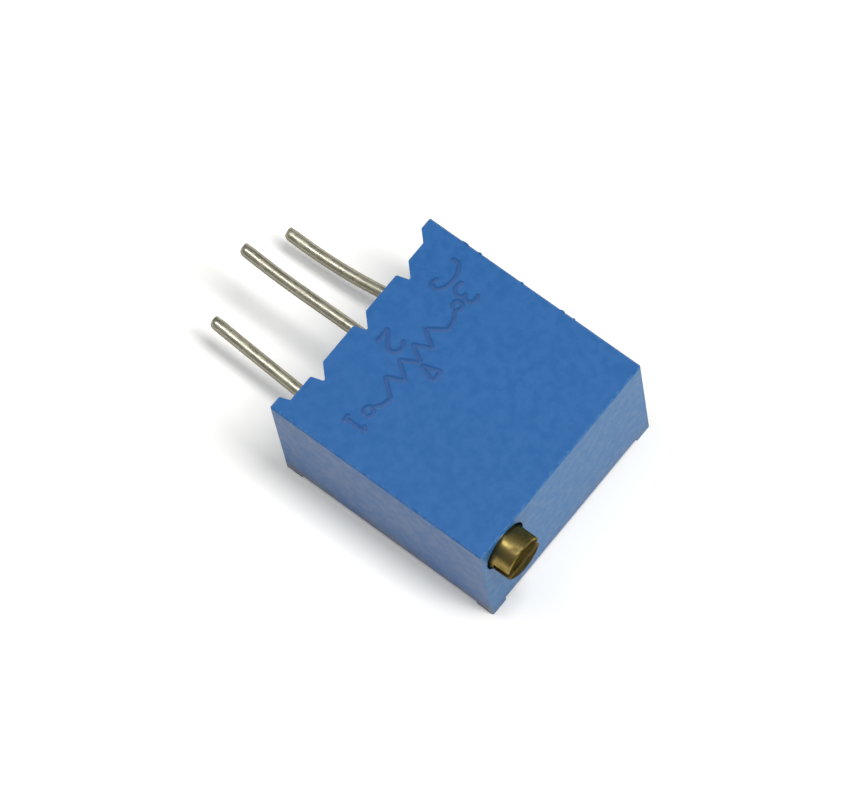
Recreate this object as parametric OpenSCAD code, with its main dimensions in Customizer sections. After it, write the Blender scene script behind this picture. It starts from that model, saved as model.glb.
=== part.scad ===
// Square multi-turn trimmer potentiometer with three staggered terminal wires.
//
// The part lies on the four feet of its back: +Z is the normal of the marked face, +Y is the way
// the terminals point, and the adjustment screw's slotted head looks towards -Y. The origin is on
// the table, under the middle of the housing. Each turn of the screw moves its worm on by one
// tooth of the wheel, and the wheel carries two brushes round a printed track on a ceramic plate.

/* [Housing] */
// width across the part, X
body_w = 9.53; // [8.5:0.01:14]
// length from the screw face to the seating plane at the terminal side, Y
body_l = 10.03; // [9.5:0.01:14]
// height from the back feet to the marked face, Z
body_t = 5.9; // [5.3:0.05:9]
// thickness of the wall under the marked face
face_wall = 0.5; // [0.4:0.05:1]
// thickness of the walls around the ceramic plate and the resin
side_wall = 0.46; // [0.4:0.02:0.8]
// thickness of the wall between the screw face and the wheel's chamber
front_wall = 0.85; // [0.7:0.05:1.5]
// thickness of the wall between the notches and the ceramic plate
notch_wall = 0.42; // [0.3:0.02:0.8]
// height of the feet on the back
foot_h = 0.25; // [0.1:0.05:0.5]
// length of each foot along the edges
foot_len = 0.78; // [0.6:0.02:1.2]
// height of the standoff columns on the terminal side
standoff_h = 0.45; // [0.3:0.05:0.8]
// width of each standoff column
standoff_w = 0.57; // [0.4:0.01:0.9]
// width of the notches that the terminals leave through
notch_w = 0.64; // [0.6:0.02:0.9]
// depth of the notches
notch_d = 0.5; // [0.3:0.05:0.7]
// radius of the upright corners between the notches and the wall, and of the columns' corners
notch_round = 0.1; // [0.04:0.02:0.15]
// how far the steep flank of a notch or column leans in
flank_lean = 0.12; // [0.05:0.01:0.16]
// space between the upper terminal and the lips that narrow the notches under the marked face
lip_clear = 0.15; // [0.08:0.01:0.3]
// bevel along the housing's outer edges
edge_bevel = 0.06; // [0.02:0.01:0.15]
// how far the cast resin stays below the rim of the back
resin_drop = 0.1; // [0:0.05:0.3]

/* [Terminals] */
// grid of the terminals, along the row and between its two levels
pin_pitch = 2.54; // [2.5:0.01:2.6]
// diameter of the terminal wire
pin_d = 0.51; // [0.4:0.01:0.6]
// straight length of each wire beyond the seating plane
pin_straight = 0.45; // [0.3:0.05:1.5]
// length of the middle wire beyond the seating plane
pin_reach = 5.4; // [3:0.05:8]
// radius of the wires' bends inside the part
pin_bend_r = 0.4; // [0.3:0.05:0.6]
// distance of the wires' inner legs from the wall that they pass through
leg_inset = 0.52; // [0.45:0.01:0.8]
// width of the slots that the wires lie in until the resin fills them
slot_gap = 0.8; // [0.7:0.02:1]

/* [Screw and worm] */
// distance of the screw's axis from the side wall's outer face
screw_inset = 1.27; // [1.2:0.01:1.6]
// distance of the screw's axis below the marked face
screw_drop = 1.27; // [1.2:0.01:1.6]
// diameter of the screw's head
head_d = 1.86; // [1.8:0.02:2.2]
// how far the head stands out of the screw face
head_out = 0.9; // [0.3:0.05:1.5]
// depth of the round recess that the head sits in
recess_depth = 0.4; // [0.2:0.05:0.6]
// gap between the head and the wall of its recess
recess_gap = 0.12; // [0.08:0.01:0.2]
// width of the screwdriver slot
slot_w = 0.5; // [0.4:0.02:0.7]
// depth of the screwdriver slot
slot_depth = 0.7; // [0.4:0.05:0.9]
// length of the bore that guides the screw's shank
bearing_len = 1.75; // [1.5:0.05:2.5]
// diameter of the screw's bearing beyond the worm
tail_d = 1; // [0.8:0.05:1.2]
// length of the bore that guides the tail
tail_len = 1.25; // [0.8:0.05:1.6]
// length of the worm
worm_len = 2.5; // [1.8:0.1:4]
// radius of the worm at the pitch line
worm_pitch_r = 0.56; // [0.5:0.01:0.7]
// pressure angle of the worm and the teeth, degrees
pressure_angle = 20; // [14:1:25]
// play between the flanks of the worm and the teeth, along the pitch line
backlash = 0.05; // [0.02:0.01:0.1]
// diameter of the seal ring's cord
seal_cord = 0.255; // [0.2:0.005:0.3]
// thickness of the retaining clip
clip_t = 0.2; // [0.15:0.01:0.3]

/* [Wheel and wiper] */
// number of teeth on the wheel
wheel_teeth = 30; // [24:1:36]
// length of the wheel's teeth along its axis
wheel_face = 1.1; // [0.8:0.05:1.6]
// gap between the tips of the teeth and the chamber's wall
chamber_gap = 0.22; // [0.1:0.02:0.5]
// diameter of the spindle that the wheel turns on
spindle_d = 1.6; // [1.2:0.1:2]
// height of the spring plate above the tracks
spring_rise = 0.85; // [0.6:0.05:1.2]
// thickness of the spring plate
spring_t = 0.1; // [0.06:0.01:0.15]
// diameter of a brush wire
brush_d = 0.1; // [0.08:0.01:0.12]

/* [Plate and tracks] */
// thickness of the ceramic plate
plate_t = 0.64; // [0.5:0.02:1]
// gap round the edges of the ceramic plate
plate_gap = 0.08; // [0.04:0.01:0.2]
// thickness of the printed tracks
film_t = 0.03; // [0.02:0.005:0.05]
// distance from the roots of the wheel's teeth to the middle of the resistive track
track_inset = 0.27; // [0.2:0.01:0.5]
// width of the resistive track
track_w = 0.7; // [0.6:0.05:0.9]
// angle that the resistive track covers, degrees
track_angle = 312; // [306:1:320]
// radius of the collector ring's middle
collector_r = 1.1; // [1:0.05:1.4]
// width of the collector ring
collector_w = 0.55; // [0.5:0.05:0.7]
// width of the printed conductors that lead to the terminals
lead_w = 0.5; // [0.4:0.05:0.7]

/* [Hidden] */
$fn = 64;
past = 1;                // how far a cutting tool runs past the face it cuts
fit = 0.01;              // gap between bonded, soldered or resting pieces
run = 0.02;              // running clearance of the screw and the wheel, on the radius
sunk = 0.1;              // how far a shape runs into the one that it is joined to

// the housing's faces
x_side = body_w / 2;
y_front = -body_l / 2;
y_seat = body_l / 2;
y_wall = y_seat - standoff_h;
y_notch = y_wall - notch_d;
z_ceiling = body_t - face_wall;
// the cavity for the ceramic plate and the resin
x_in = x_side - side_wall;
y_in0 = y_front + side_wall;
y_in1 = y_notch - notch_wall;

// the terminals
pin_r = pin_d / 2;
z_low = body_t / 2 - pin_pitch / 2;
z_high = body_t / 2 + pin_pitch / 2;
z_lip = z_high + pin_r + lip_clear;
y_leg = y_in1 - leg_inset;
hole_r = pin_r + 0.07;
leg_foot = 0.16;         // how far a wire's end stands out of the ceramic plate
solder_r = 0.42;
solder_h = 0.2;
solder_lip = 0.04;       // thickness of the solder at the top of its fillet
solder_room = 0.08;      // gap between the solder and the wall of its pocket
bend_plane = 60;         // slant of the plane that the wires are bent in, from X towards Z
kink_r = 3;
end_run = 0.4;           // straight run before the tip
tip_bevel = 0.06;
joint_swell = 0.003;
// [x, level, kink in degrees, straight run after it, sweep towards the tip, trim of the length]
terminals = [
    [-pin_pitch, z_low, 4.4, 0.8, 1, -0.15],
    [0, z_high, -0.5, 1.9, 4.6, 0],
    [pin_pitch, z_low, -10, 0.3, 12, 0.12]
];

// the ceramic plate and the print on it
// it lies just above the lower wires, whose bends clear the rims of its holes
bend_reach = pin_bend_r - hole_r + fit;
z_plate = z_low + max(pin_r + 2 * fit, pin_bend_r - sqrt(pow(pin_bend_r - pin_r, 2) - pow(bend_reach, 2)));
z_print = z_plate + plate_t;
z_film = z_print + film_t;
z_ledge = z_film + fit;

// the worm and the wheel: the wheel is the largest that the width and the length leave room for
screw_x = screw_inset - x_side;
z_screw = body_t - screw_drop;
leg_room = 0.34;         // from a wire leg's axis to the wall of its pocket
leg_web = 0.12;          // least wall between the chamber and the middle wire's pocket
addendum_share = 0.97;   // tooth height above the pitch line, in modules
dedendum_share = 1.1;    // tooth depth below the pitch line, in modules
chamber_max = (y_leg - leg_room - leg_web - y_front - front_wall) / 2;
wheel_max = (chamber_max - chamber_gap) / (1 + 2 * addendum_share / wheel_teeth);
wheel_r = min(x_side - screw_inset - worm_pitch_r, wheel_max);
tooth_module = 2 * wheel_r / wheel_teeth;
worm_pitch = PI * tooth_module;
addendum = addendum_share * tooth_module;
dedendum = dedendum_share * tooth_module;
wheel_tip_r = wheel_r + addendum;
wheel_root_r = wheel_r - dedendum;
worm_tip_r = worm_pitch_r + addendum;
worm_root_r = worm_pitch_r - dedendum;
lead_angle = atan(worm_pitch / (2 * PI * worm_pitch_r));
chamber_r = wheel_tip_r + chamber_gap;
wheel_x = screw_x + worm_pitch_r + wheel_r;
wheel_y = y_front + front_wall + chamber_r;
z_wheel = z_screw - wheel_face / 2;
z_wheel_top = z_screw + wheel_face / 2;

// the screw, along Y
worm_room = 0.12;        // gap between the worm and the wall of its room
tail_run = 0.32;         // from the worm to the tail's bearing
tail_gap = 0.05;         // between the tail's end and the floor of its bore
y_recess = y_front + recess_depth;
y_bearing = y_recess + bearing_len;
y_worm1 = wheel_y + worm_len / 2;
y_tail = y_worm1 + tail_run;
shank_r = worm_tip_r + run;
shank_past = 0.25;       // how far the shank runs out of its bearing
seal_inset = 0.6;        // from the recess's floor to the seal's groove
clip_inset = 0.45;       // from the bearing's inner end to the clip
seal_groove_r = shank_r + run - seal_cord - 2 * run;
seal_y = y_recess + seal_inset;
seal_groove_w = seal_cord + 0.095;
clip_y = y_bearing - clip_inset;
clip_groove_r = 0.47;
clip_play = 0.03;
clip_gap = 0.1;          // between the clip's feet and the ceramic plate

// the worm's ridge: facets in a turn, the steps that its run-out takes, how deep it is rooted
worm_facets = 24;
worm_fade = 6;
worm_buried = 0.04;
worm_stub = 0.3;         // height of the ridge's very end, in steps of its run-out
ridge_height = worm_tip_r - worm_root_r;
function ridge_half(r) = worm_pitch / 4 - backlash / 4 - (r - worm_pitch_r) * tan(pressure_angle);
worm_steps = floor((worm_len - 2 * ridge_half(worm_root_r - worm_buried)) / worm_pitch * worm_facets);
// turns the ridge so that, towards the wheel, it passes half a pitch from the wheel's middle
worm_phase = 180 - worm_steps / 2 * 360 / worm_facets;

// the wheel's hub and the wiper
rim_r = 1.35;
rim_play = 0.02;
bore_floor = 0.12;       // thickness of the hub under its blind bore
spindle_gap = 0.08;      // between the spindle's end and that floor
boss_r = 1.4;
stake_r = 0.16;
stake_at = 0.85;
stake_past = 0.08;       // how far the stakes stand out under the spring plate
spring_r = 1.72;
tab_x0 = -1.5;           // the tab that the outer brush is welded to
tab_x1 = -1.05;
tab_out = 0.32;          // how far the tab runs past the middle of the track
window_x = -0.55;        // the window that lets the inner brush flex
window_l = 0.95;
window_w = 0.6;
z_spring = z_film + spring_rise;
z_spring_top = z_spring + spring_t;
track_r = wheel_root_r - track_inset;
brush_r = brush_d / 2;
brush_skid = 0.12;       // half the length of a wire that lies along its track
weld_t = 0.03;           // weld metal between the brush wires and the spring plate
weld_half = 0.08;        // half the width of the weld
gap_half = 180 - track_angle / 2;
end_cap = 8;             // degrees of the gap that each end of the track's conductor takes

blue = [0.2, 0.4, 0.68];
brass = [0.72, 0.58, 0.25];
tin = [0.72, 0.7, 0.64];
brush_gold = [0.85, 0.78, 0.6];
silver = [0.75, 0.74, 0.7];

// ---------------------------------------------------------------- shared shapes

// a rod along +Y from y0 to y1 on the screw's axis
module on_screw_axis(y0, y1, r) {
    translate([screw_x, y0, z_screw]) rotate([-90, 0, 0]) cylinder(h = y1 - y0, r = r);
}

// a box between two corners
module between(low, high) {
    translate(low) cube(high - low);
}

// a wire from the origin along +Z that ends in its children: steps are [length, angle, radius],
// each a straight run and the bend after it, towards +X; swell thickens it a little where a slanted
// run meets a bend, so that they join soundly
module wire(steps, r, swell = 0, i = 0) {
    if (i < len(steps)) {
        reach = steps[i][0];
        angle = steps[i][1];
        bend = steps[i][2];
        if (reach > 0) cylinder(h = reach, r = r);
        if (swell > 0 && i > 0) for (z = [0, reach]) translate([0, 0, z]) sphere(r = r + swell);
        translate([0, 0, reach]) {
            if (angle != 0)
                mirror([angle < 0 ? 1 : 0, 0, 0]) translate([bend, 0, 0]) mirror([1, 0, 0])
                    rotate([90, 0, 0]) rotate_extrude(angle = abs(angle))
                        translate([bend, 0]) circle(r = r);
            translate([sign(angle) * bend * (1 - cos(angle)), 0, bend * sin(abs(angle))])
                rotate([0, angle, 0]) wire(steps, r, swell, i + 1) children();
        }
    } else {
        if (swell > 0) sphere(r = r + swell);
        children();
    }
}

// a flat strip of width w from point a to point b
module strip(a, b, w) {
    along = (b - a) / norm(b - a);
    across = [-along[1], along[0]] * w / 2;
    polygon([a + across, a - across, b - across, b + across]);
}

// ---------------------------------------------------------------- housing

// what comes off a square corner at the origin to round it, towards +X and +Y
module corner_cut() difference() {
    translate([-sunk, -sunk]) square(notch_round + sunk);
    translate([notch_round, notch_round]) circle(r = notch_round);
}

// what a steep flank adds beside the rounded corner [x, y1], down to y0
module steep_flank(x, y0, y1) polygon([
    [x, y1 - notch_round], [x + flank_lean, y0], [x + flank_lean, y0 - sunk],
    [x - sunk, y0 - sunk], [x - sunk, y1 - notch_round]
]);

// what a flank at 45 degrees adds beside the rounded corner [x, y1], down to y0
module slanted_flank(x, y0, y1) {
    k = notch_round * (1 - sin(45));
    polygon([
        [x + k, y1 - k], [x + 2 * k - (y1 - y0), y0],
        [x + 2 * k - (y1 - y0), y0 - sunk], [x + k, y0 - sunk]
    ]);
}

// the outline seen from the marked face, with bevelled corners and the three notches
module outline() {
    x_column = x_side - standoff_w;
    b = edge_bevel;
    difference() {
        polygon([
            [-x_side, y_front + b], [-x_side + b, y_front],
            [x_side - b, y_front], [x_side, y_front + b],
            [x_side, y_seat - b], [x_side - b, y_seat],
            [x_column, y_seat], [x_column, y_wall],
            [-x_column, y_wall], [-x_column, y_seat],
            [-x_side + b, y_seat], [-x_side, y_seat - b]
        ]);
        for (t = terminals) {
            translate([t[0] - notch_w / 2, y_notch]) square([notch_w, notch_d + past]);
            for (side = [-1, 1]) translate([t[0] + side * notch_w / 2, y_wall])
                mirror([side < 0 ? 1 : 0, 0]) mirror([0, 1]) corner_cut();
        }
        for (side = [-1, 1]) translate([side * x_column, y_seat])
            mirror([side < 0 ? 1 : 0, 0]) mirror([0, 1]) corner_cut();
    }
}

// the uncut block: the lips are only above the terminals, the columns' flanks have the full height
module block() {
    linear_extrude(body_t) outline();
    linear_extrude(body_t) steep_flank(standoff_w - x_side, y_wall, y_seat);
    linear_extrude(body_t) slanted_flank(x_side - standoff_w, y_wall, y_seat);
    translate([0, 0, z_lip]) linear_extrude(body_t - z_lip) for (t = terminals) {
        steep_flank(t[0] - notch_w / 2, y_notch, y_wall);
        slanted_flank(t[0] + notch_w / 2, y_notch, y_wall);
    }
}

// the block with the bevels round the marked face
module bevelled_block() {
    b = edge_bevel;
    intersection() {
        block();
        translate([0, y_seat + past, 0]) rotate([90, 0, 0]) linear_extrude(body_l + 2 * past)
            polygon([[-x_side, 0], [x_side, 0], [x_side, body_t - b], [x_side - b, body_t],
                     [-x_side + b, body_t], [-x_side, body_t - b]]);
        translate([-x_side - past, 0, 0]) rotate([90, 0, 90]) linear_extrude(body_w + 2 * past)
            polygon([[y_front, 0], [y_seat, 0], [y_seat, body_t - b], [y_seat - b, body_t],
                     [y_front + b, body_t], [y_front, body_t - b]]);
    }
}

// room for the wheel, the worm and the wires' inner legs, all open towards the back
module inner_rooms() {
    translate([wheel_x, wheel_y, z_ledge - past]) cylinder(h = z_ceiling - z_ledge + past, r = chamber_r);
    between([min(-x_in, screw_x - shank_r - run), y_bearing, z_ledge - past],
            [screw_x + worm_tip_r + worm_room, y_tail, max(z_ceiling, z_screw + shank_r + run)]);
    between([-leg_room, y_leg - leg_room, z_ledge - past],
            [leg_room, y_in1, z_high + leg_room]);
    for (t = terminals)
        translate([t[0], y_leg, z_ledge - past])
            cylinder(h = past + solder_h + solder_room, r = solder_r + solder_room);
    between([-x_in, y_in0, -past], [x_in, y_in1, z_ledge]);
}

// the slot that lets a terminal drop into the wall from the back
module terminal_slot(t, inset = 0) {
    half = slot_gap / 2 - inset;
    y0 = y_in1 - 2 * fit;
    y1 = y_notch + fit;
    between([t[0] - half, y0, -past], [t[0] + half, y1, t[1]]);
    translate([t[0], y0, t[1]]) rotate([-90, 0, 0]) cylinder(h = y1 - y0, r = half);
}

module housing() color(blue) {
    difference() {
        bevelled_block();
        inner_rooms();
        for (t = terminals) terminal_slot(t);
        // the gaps between the feet
        between([-x_side + foot_len, y_front - past, -past],
                [x_side - foot_len, y_seat + past, foot_h]);
        between([-x_side - past, y_front + foot_len, -past],
                [x_side + past, y_seat - foot_len, foot_h]);
        // recess, bearing, tail bearing and clip slot of the screw
        on_screw_axis(y_front - past, y_recess, head_d / 2 + recess_gap);
        on_screw_axis(y_recess - fit, y_bearing + fit, shank_r + run);
        on_screw_axis(y_tail - fit, y_tail + tail_len, tail_d / 2 + run);
        between([screw_x - shank_r - clip_play, clip_y - clip_play / 2, z_ledge - past],
                [screw_x + shank_r + clip_play, clip_y + clip_t + clip_play / 2,
                 z_screw + clip_groove_r + clip_play]);
    }
    // the spindle that the wheel turns on
    z_end = z_wheel + bore_floor + spindle_gap;
    translate([wheel_x, wheel_y, z_end]) cylinder(h = z_ceiling + sunk - z_end, r = spindle_d / 2);
}

module potting() color([0.1, 0.22, 0.42]) {
    z0 = foot_h + resin_drop;
    z1 = z_plate - fit;
    difference() {
        union() {
            between([-x_in + fit, y_in0 + fit, z0], [x_in - fit, y_in1 - fit, z1]);
            intersection() {
                for (t = terminals) terminal_slot(t, fit);
                between([-x_side, y_in1 - fit, z0], [x_side, y_notch, body_t]);
            }
        }
        for (t = terminals) wire_inside(t, fit);
    }
}

// ---------------------------------------------------------------- terminals

// the stretch of a wire inside the part and straight out of it: grow makes it the tool for its room
module wire_inside(t, grow = 0) {
    r = pin_r + grow;
    up = t[1] < z_plate;
    y_bend = y_leg + pin_bend_r;
    leg = up ? z_print + leg_foot - t[1] - pin_bend_r : t[1] - pin_bend_r - z_plate + leg_foot;
    translate([t[0], y_seat + pin_straight, t[1]]) rotate([90, 0, 0]) rotate([0, 0, up ? 90 : -90])
        wire([[y_seat + pin_straight - y_bend, 90, pin_bend_r], [leg + grow, 0, 1]], r);
}

// the stretch outside, with its kink, its sweep and its straight cut end
module wire_outside(t) {
    swept = pin_reach + t[5] - pin_straight - t[3] - end_run - kink_r * abs(t[2]) * PI / 180;
    translate([t[0], y_seat + pin_straight, t[1]]) rotate([-90, 0, 0]) rotate([0, 0, -bend_plane])
        wire([[0, t[2], kink_r], [t[3], t[4], swept / abs(t[4]) * 180 / PI]], pin_r, joint_swell)
            rotate_extrude() polygon([
                [0, 0], [pin_r, 0], [pin_r, end_run - tip_bevel], [pin_r - tip_bevel, end_run],
                [0, end_run]
            ]);
}

module terminal(i) color(tin) {
    wire_inside(terminals[i]);
    wire_outside(terminals[i]);
}

// a fillet on the print side and the fill of the hole, round the wire
module solder(i) color([0.66, 0.67, 0.68]) {
    t = terminals[i];
    difference() {
        translate([t[0], y_leg, 0]) union() {
            translate([0, 0, z_plate]) cylinder(h = z_film - z_plate + 2 * fit, r = hole_r - fit);
            translate([0, 0, z_film + fit])
                cylinder(h = solder_h, r1 = solder_r, r2 = pin_r + solder_lip);
        }
        wire_inside(t, fit);
    }
}

// ---------------------------------------------------------------- screw

// one helical ridge round +Z, centred on the origin, that runs out to nothing at both ends
module worm_thread() {
    function ridge(i) = worm_root_r + ridge_height *
        min(1, (i + worm_stub) / worm_fade, (worm_steps - i + worm_stub) / worm_fade);
    function ring(i) = let(a = i * 360 / worm_facets, z = i * worm_pitch / worm_facets,
                           r0 = worm_root_r - worm_buried, r1 = ridge(i),
                           h0 = ridge_half(r0), h1 = ridge_half(r1))
        [for (p = [[r0, -h0], [r1, -h1], [r1, h1], [r0, h0]])
            [p[0] * cos(a), p[0] * sin(a), z + p[1]]];
    last = 4 * worm_steps;
    translate([0, 0, -worm_steps * worm_pitch / worm_facets / 2])
        polyhedron(
            points = [for (i = [0:worm_steps]) each ring(i)],
            faces = concat(
                [[3, 2, 1], [3, 1, 0]],
                [[last, last + 1, last + 2], [last, last + 2, last + 3]],
                [for (i = [0:worm_steps - 1], k = [0:3]) each
                    let(a = 4 * i + k, b = 4 * i + (k + 1) % 4)
                        [[a, b, b + 4], [a, b + 4, a + 4]]]),
            convexity = 10);
}

// the turned blank from the head's face to the tail: [radius, place along Y]
module screw_blank() {
    y_head = y_front - head_out;
    y_neck = y_bearing + shank_past;
    y_end = y_tail + tail_len - tail_gap;
    rim = 0.05;
    nose = 0.15;
    translate([screw_x, 0, z_screw]) rotate([-90, 0, 0]) rotate_extrude() polygon([
        [0, y_head], [head_d / 2 - rim, y_head], [head_d / 2, y_head + rim],
        [head_d / 2, y_recess - run], [shank_r, y_recess - run],
        [shank_r, seal_y], [seal_groove_r, seal_y],
        [seal_groove_r, seal_y + seal_groove_w], [shank_r, seal_y + seal_groove_w],
        [shank_r, clip_y - clip_play], [clip_groove_r, clip_y - clip_play],
        [clip_groove_r, clip_y + clip_t + clip_play], [shank_r, clip_y + clip_t + clip_play],
        [shank_r, y_neck], [worm_root_r, y_neck],
        [worm_root_r, y_worm1], [tail_d / 2, y_worm1 + tail_d / 2 - worm_root_r],
        [tail_d / 2, y_end - nose], [tail_d / 2 - nose, y_end], [0, y_end]
    ]);
}

module adjustment_screw() color(brass) {
    difference() {
        screw_blank();
        between([screw_x - head_d, y_front - head_out - past, z_screw - slot_w / 2],
                [screw_x + head_d, y_front - head_out + slot_depth, z_screw + slot_w / 2]);
    }
    // a gap of the worm faces the tooth that points at it
    translate([screw_x, wheel_y, z_screw]) rotate([-90, 0, 0]) rotate([0, 0, worm_phase])
        worm_thread();
}

module screw_seal() color([0.75, 0.25, 0.15]) {
    ring_r = seal_groove_r + run + seal_cord / 2;
    translate([screw_x, seal_y + seal_groove_w / 2, z_screw]) rotate([90, 0, 0])
        rotate_extrude() translate([ring_r, 0]) circle(d = seal_cord);
}

module screw_clip() color([0.7, 0.55, 0.35]) {
    throat = clip_groove_r + clip_play;
    difference() {
        between([screw_x - shank_r, clip_y, z_ledge + clip_gap],
                [screw_x + shank_r, clip_y + clip_t, z_screw + clip_groove_r]);
        on_screw_axis(clip_y - past, clip_y + clip_t + past, throat);
        between([screw_x - throat, clip_y - past, z_screw],
                [screw_x + throat, clip_y + clip_t + past, body_t]);
    }
}

// ---------------------------------------------------------------- wheel and wiper

function involute_angle(r) = let(a = acos(min(1, wheel_r * cos(pressure_angle) / r)))
    tan(a) * 180 / PI - a;
// half the angle that a tooth covers at radius r
function tooth_half(r) = let(base = wheel_r * cos(pressure_angle),
                             pitch_half = (worm_pitch / 2 - backlash / 2) / 2 / wheel_r * 180 / PI)
    pitch_half + involute_angle(wheel_r) - involute_angle(max(r, base));
function on_circle(r, a) = [r * cos(a), r * sin(a)];

// one tooth that points along +X, slanted to follow the worm's ridge
module tooth() {
    radii = [wheel_root_r - sunk, wheel_root_r + addendum / 4, wheel_r, wheel_r + addendum / 2,
             wheel_tip_r];
    height = wheel_face / cos(lead_angle) + sunk;
    rotate([-lead_angle, 0, 0]) translate([0, 0, -height / 2]) linear_extrude(height)
        polygon(concat([for (r = radii) on_circle(r, -tooth_half(r))],
                       [for (i = [len(radii) - 1:-1:0]) on_circle(radii[i], tooth_half(radii[i]))]));
}

// the moulded body of the wheel: hub, thrust rim, disc, boss and the blind bore, [radius, height]
module wheel_blank() {
    bore = spindle_d / 2 + run;
    z_bore = z_wheel + bore_floor;
    z_rim = z_ceiling - rim_play;
    z_boss = z_spring_top + fit;
    rotate_extrude() polygon([
        [0, z_boss], [boss_r, z_boss], [boss_r, z_wheel], [wheel_root_r, z_wheel],
        [wheel_root_r, z_wheel_top], [rim_r, z_wheel_top], [rim_r, z_rim], [bore, z_rim],
        [bore, z_bore], [0, z_bore]
    ]);
}

module worm_wheel() color([0.9, 0.88, 0.82]) translate([wheel_x, wheel_y, 0]) {
    wheel_blank();
    intersection() {
        translate([0, 0, z_screw]) for (i = [0:wheel_teeth - 1])
            rotate([0, 0, i * 360 / wheel_teeth]) tooth();
        translate([0, 0, z_wheel]) cylinder(h = wheel_face, r = wheel_tip_r);
    }
    // the stakes that hold the spring plate
    for (side = [-1, 1]) translate([side * stake_at, 0, z_spring - stake_past])
        cylinder(h = stake_past + spring_t + sunk, r = stake_r);
}

module wiper_spring() color([0.78, 0.6, 0.35]) {
    translate([wheel_x, wheel_y, z_spring]) linear_extrude(spring_t) difference() {
        union() {
            circle(r = spring_r);
            translate([tab_x0, -track_r - tab_out])
                square([tab_x1 - tab_x0, track_r + tab_out - spring_r / 2]);
        }
        for (side = [-1, 1]) translate([side * stake_at, 0]) circle(r = stake_r + fit);
        translate([window_x, collector_r - window_w / 2]) square([window_l, window_w]);
    }
}

// a comb of wires across the track at radius at, welded under the plate between weld and knee:
// each wire slants down from its knee and ends in a short skid on the track
module brush(at, count, spread, weld, knee) {
    z_flat = z_spring - fit - weld_t - brush_r;
    z_skid = z_film + fit + brush_r;
    drop = z_flat - z_skid;
    side = sign(knee);
    slope = atan2(drop, abs(knee) - brush_skid);
    bend = 3 * brush_d;
    cut = bend * tan(slope / 2);
    across = (count - 1) * spread / 2 + brush_r;
    steps = [[abs(weld - knee) - cut, slope, bend],
             [norm([abs(knee) - brush_skid, drop]) - 2 * cut, -slope, bend],
             [2 * brush_skid - cut, 0, 1]];
    translate([wheel_x + weld, wheel_y + at, z_flat]) {
        for (k = [0:count - 1]) translate([0, (k - (count - 1) / 2) * spread, 0])
            rotate([0, 0, side > 0 ? 180 : 0]) rotate([0, 90, 0]) wire(steps, brush_r);
        between([-weld_half, -across, -brush_r / 2], [weld_half, across, brush_r + weld_t]);
    }
}

module track_brush() color(brush_gold)
    brush(-track_r, count = 5, spread = 0.125, weld = tab_x0 + weld_half, knee = tab_x1);
module collector_brush() color(brush_gold)
    brush(collector_r, count = 4, spread = 0.12, weld = 1.25, knee = 0.75);

// ---------------------------------------------------------------- plate and tracks

module substrate() color([0.93, 0.92, 0.88]) {
    difference() {
        between([-x_in + plate_gap, y_in0 + plate_gap, z_plate],
                [x_in - plate_gap, y_in1 - plate_gap, z_print]);
        for (t = terminals) translate([t[0], y_leg, z_plate - past])
            cylinder(h = plate_t + 2 * past, r = hole_r);
    }
}

// a printed shape on the plate
module printed() translate([0, 0, z_print]) linear_extrude(film_t) children();

// the ring that the track is part of, and a wedge of it between two angles
module track_ring() translate([wheel_x, wheel_y]) difference() {
    circle(r = track_r + track_w / 2);
    circle(r = track_r - track_w / 2);
}
module wedge(a0, a1) translate([wheel_x, wheel_y])
    polygon([[0, 0], 2 * track_r * on_circle(1, a0), 2 * track_r * on_circle(1, a1)]);

// the track's outline: the ring with its gap towards the terminals
module track_outline() difference() {
    track_ring();
    wedge(90 - gap_half, 90 + gap_half);
}

module resistive_track() color([0.13, 0.12, 0.12]) printed() track_outline();

// the conductor from one end of the track to its terminal
module end_pad(i) color(silver) {
    t = terminals[i];
    side = sign(t[0]);
    from = [wheel_x, wheel_y] + on_circle(track_r, 90 - side * (gap_half - end_cap / 2));
    printed() difference() {
        union() {
            intersection() {
                track_ring();
                wedge(90 - side * (gap_half + end_cap), 90 - side * (gap_half - end_cap));
            }
            strip(from, [t[0], y_leg], lead_w);
            translate([t[0], y_leg]) circle(r = solder_r);
        }
        track_outline();
        translate([t[0], y_leg]) circle(r = hole_r);
    }
}

module collector_track() color(silver) {
    printed() difference() {
        union() {
            translate([wheel_x, wheel_y]) circle(r = collector_r + collector_w / 2);
            strip([wheel_x, wheel_y + collector_r], [0, y_leg], lead_w);
            translate([0, y_leg]) circle(r = solder_r);
        }
        translate([wheel_x, wheel_y]) circle(r = collector_r - collector_w / 2);
        translate([0, y_leg]) circle(r = hole_r);
    }
}

housing();
adjustment_screw();
screw_seal();
screw_clip();
worm_wheel();
wiper_spring();
track_brush();
collector_brush();
substrate();
resistive_track();
collector_track();
end_pad(0);  // end_pad_1
end_pad(2);  // end_pad_3
terminal(0);  // terminal_1
terminal(1);  // terminal_2
terminal(2);  // terminal_3
solder(0);  // solder_1
solder(1);  // solder_2
solder(2);  // solder_3
potting();
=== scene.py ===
"""Multi-turn trimmer potentiometer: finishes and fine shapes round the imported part.

Shapes are worked out in millimetres, with their angles in degrees, and every finished mesh is in
metres in the part's own frame: +Z out of the marked face, +Y along the terminals, the origin on
the table.
"""

from __future__ import annotations

import logging
import math
from contextlib import contextmanager
from dataclasses import dataclass, field
from enum import Enum
from functools import reduce
from typing import Callable, Iterator, Sequence

import bmesh
import bpy
import numpy as np
from mathutils import Matrix, Vector


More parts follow.
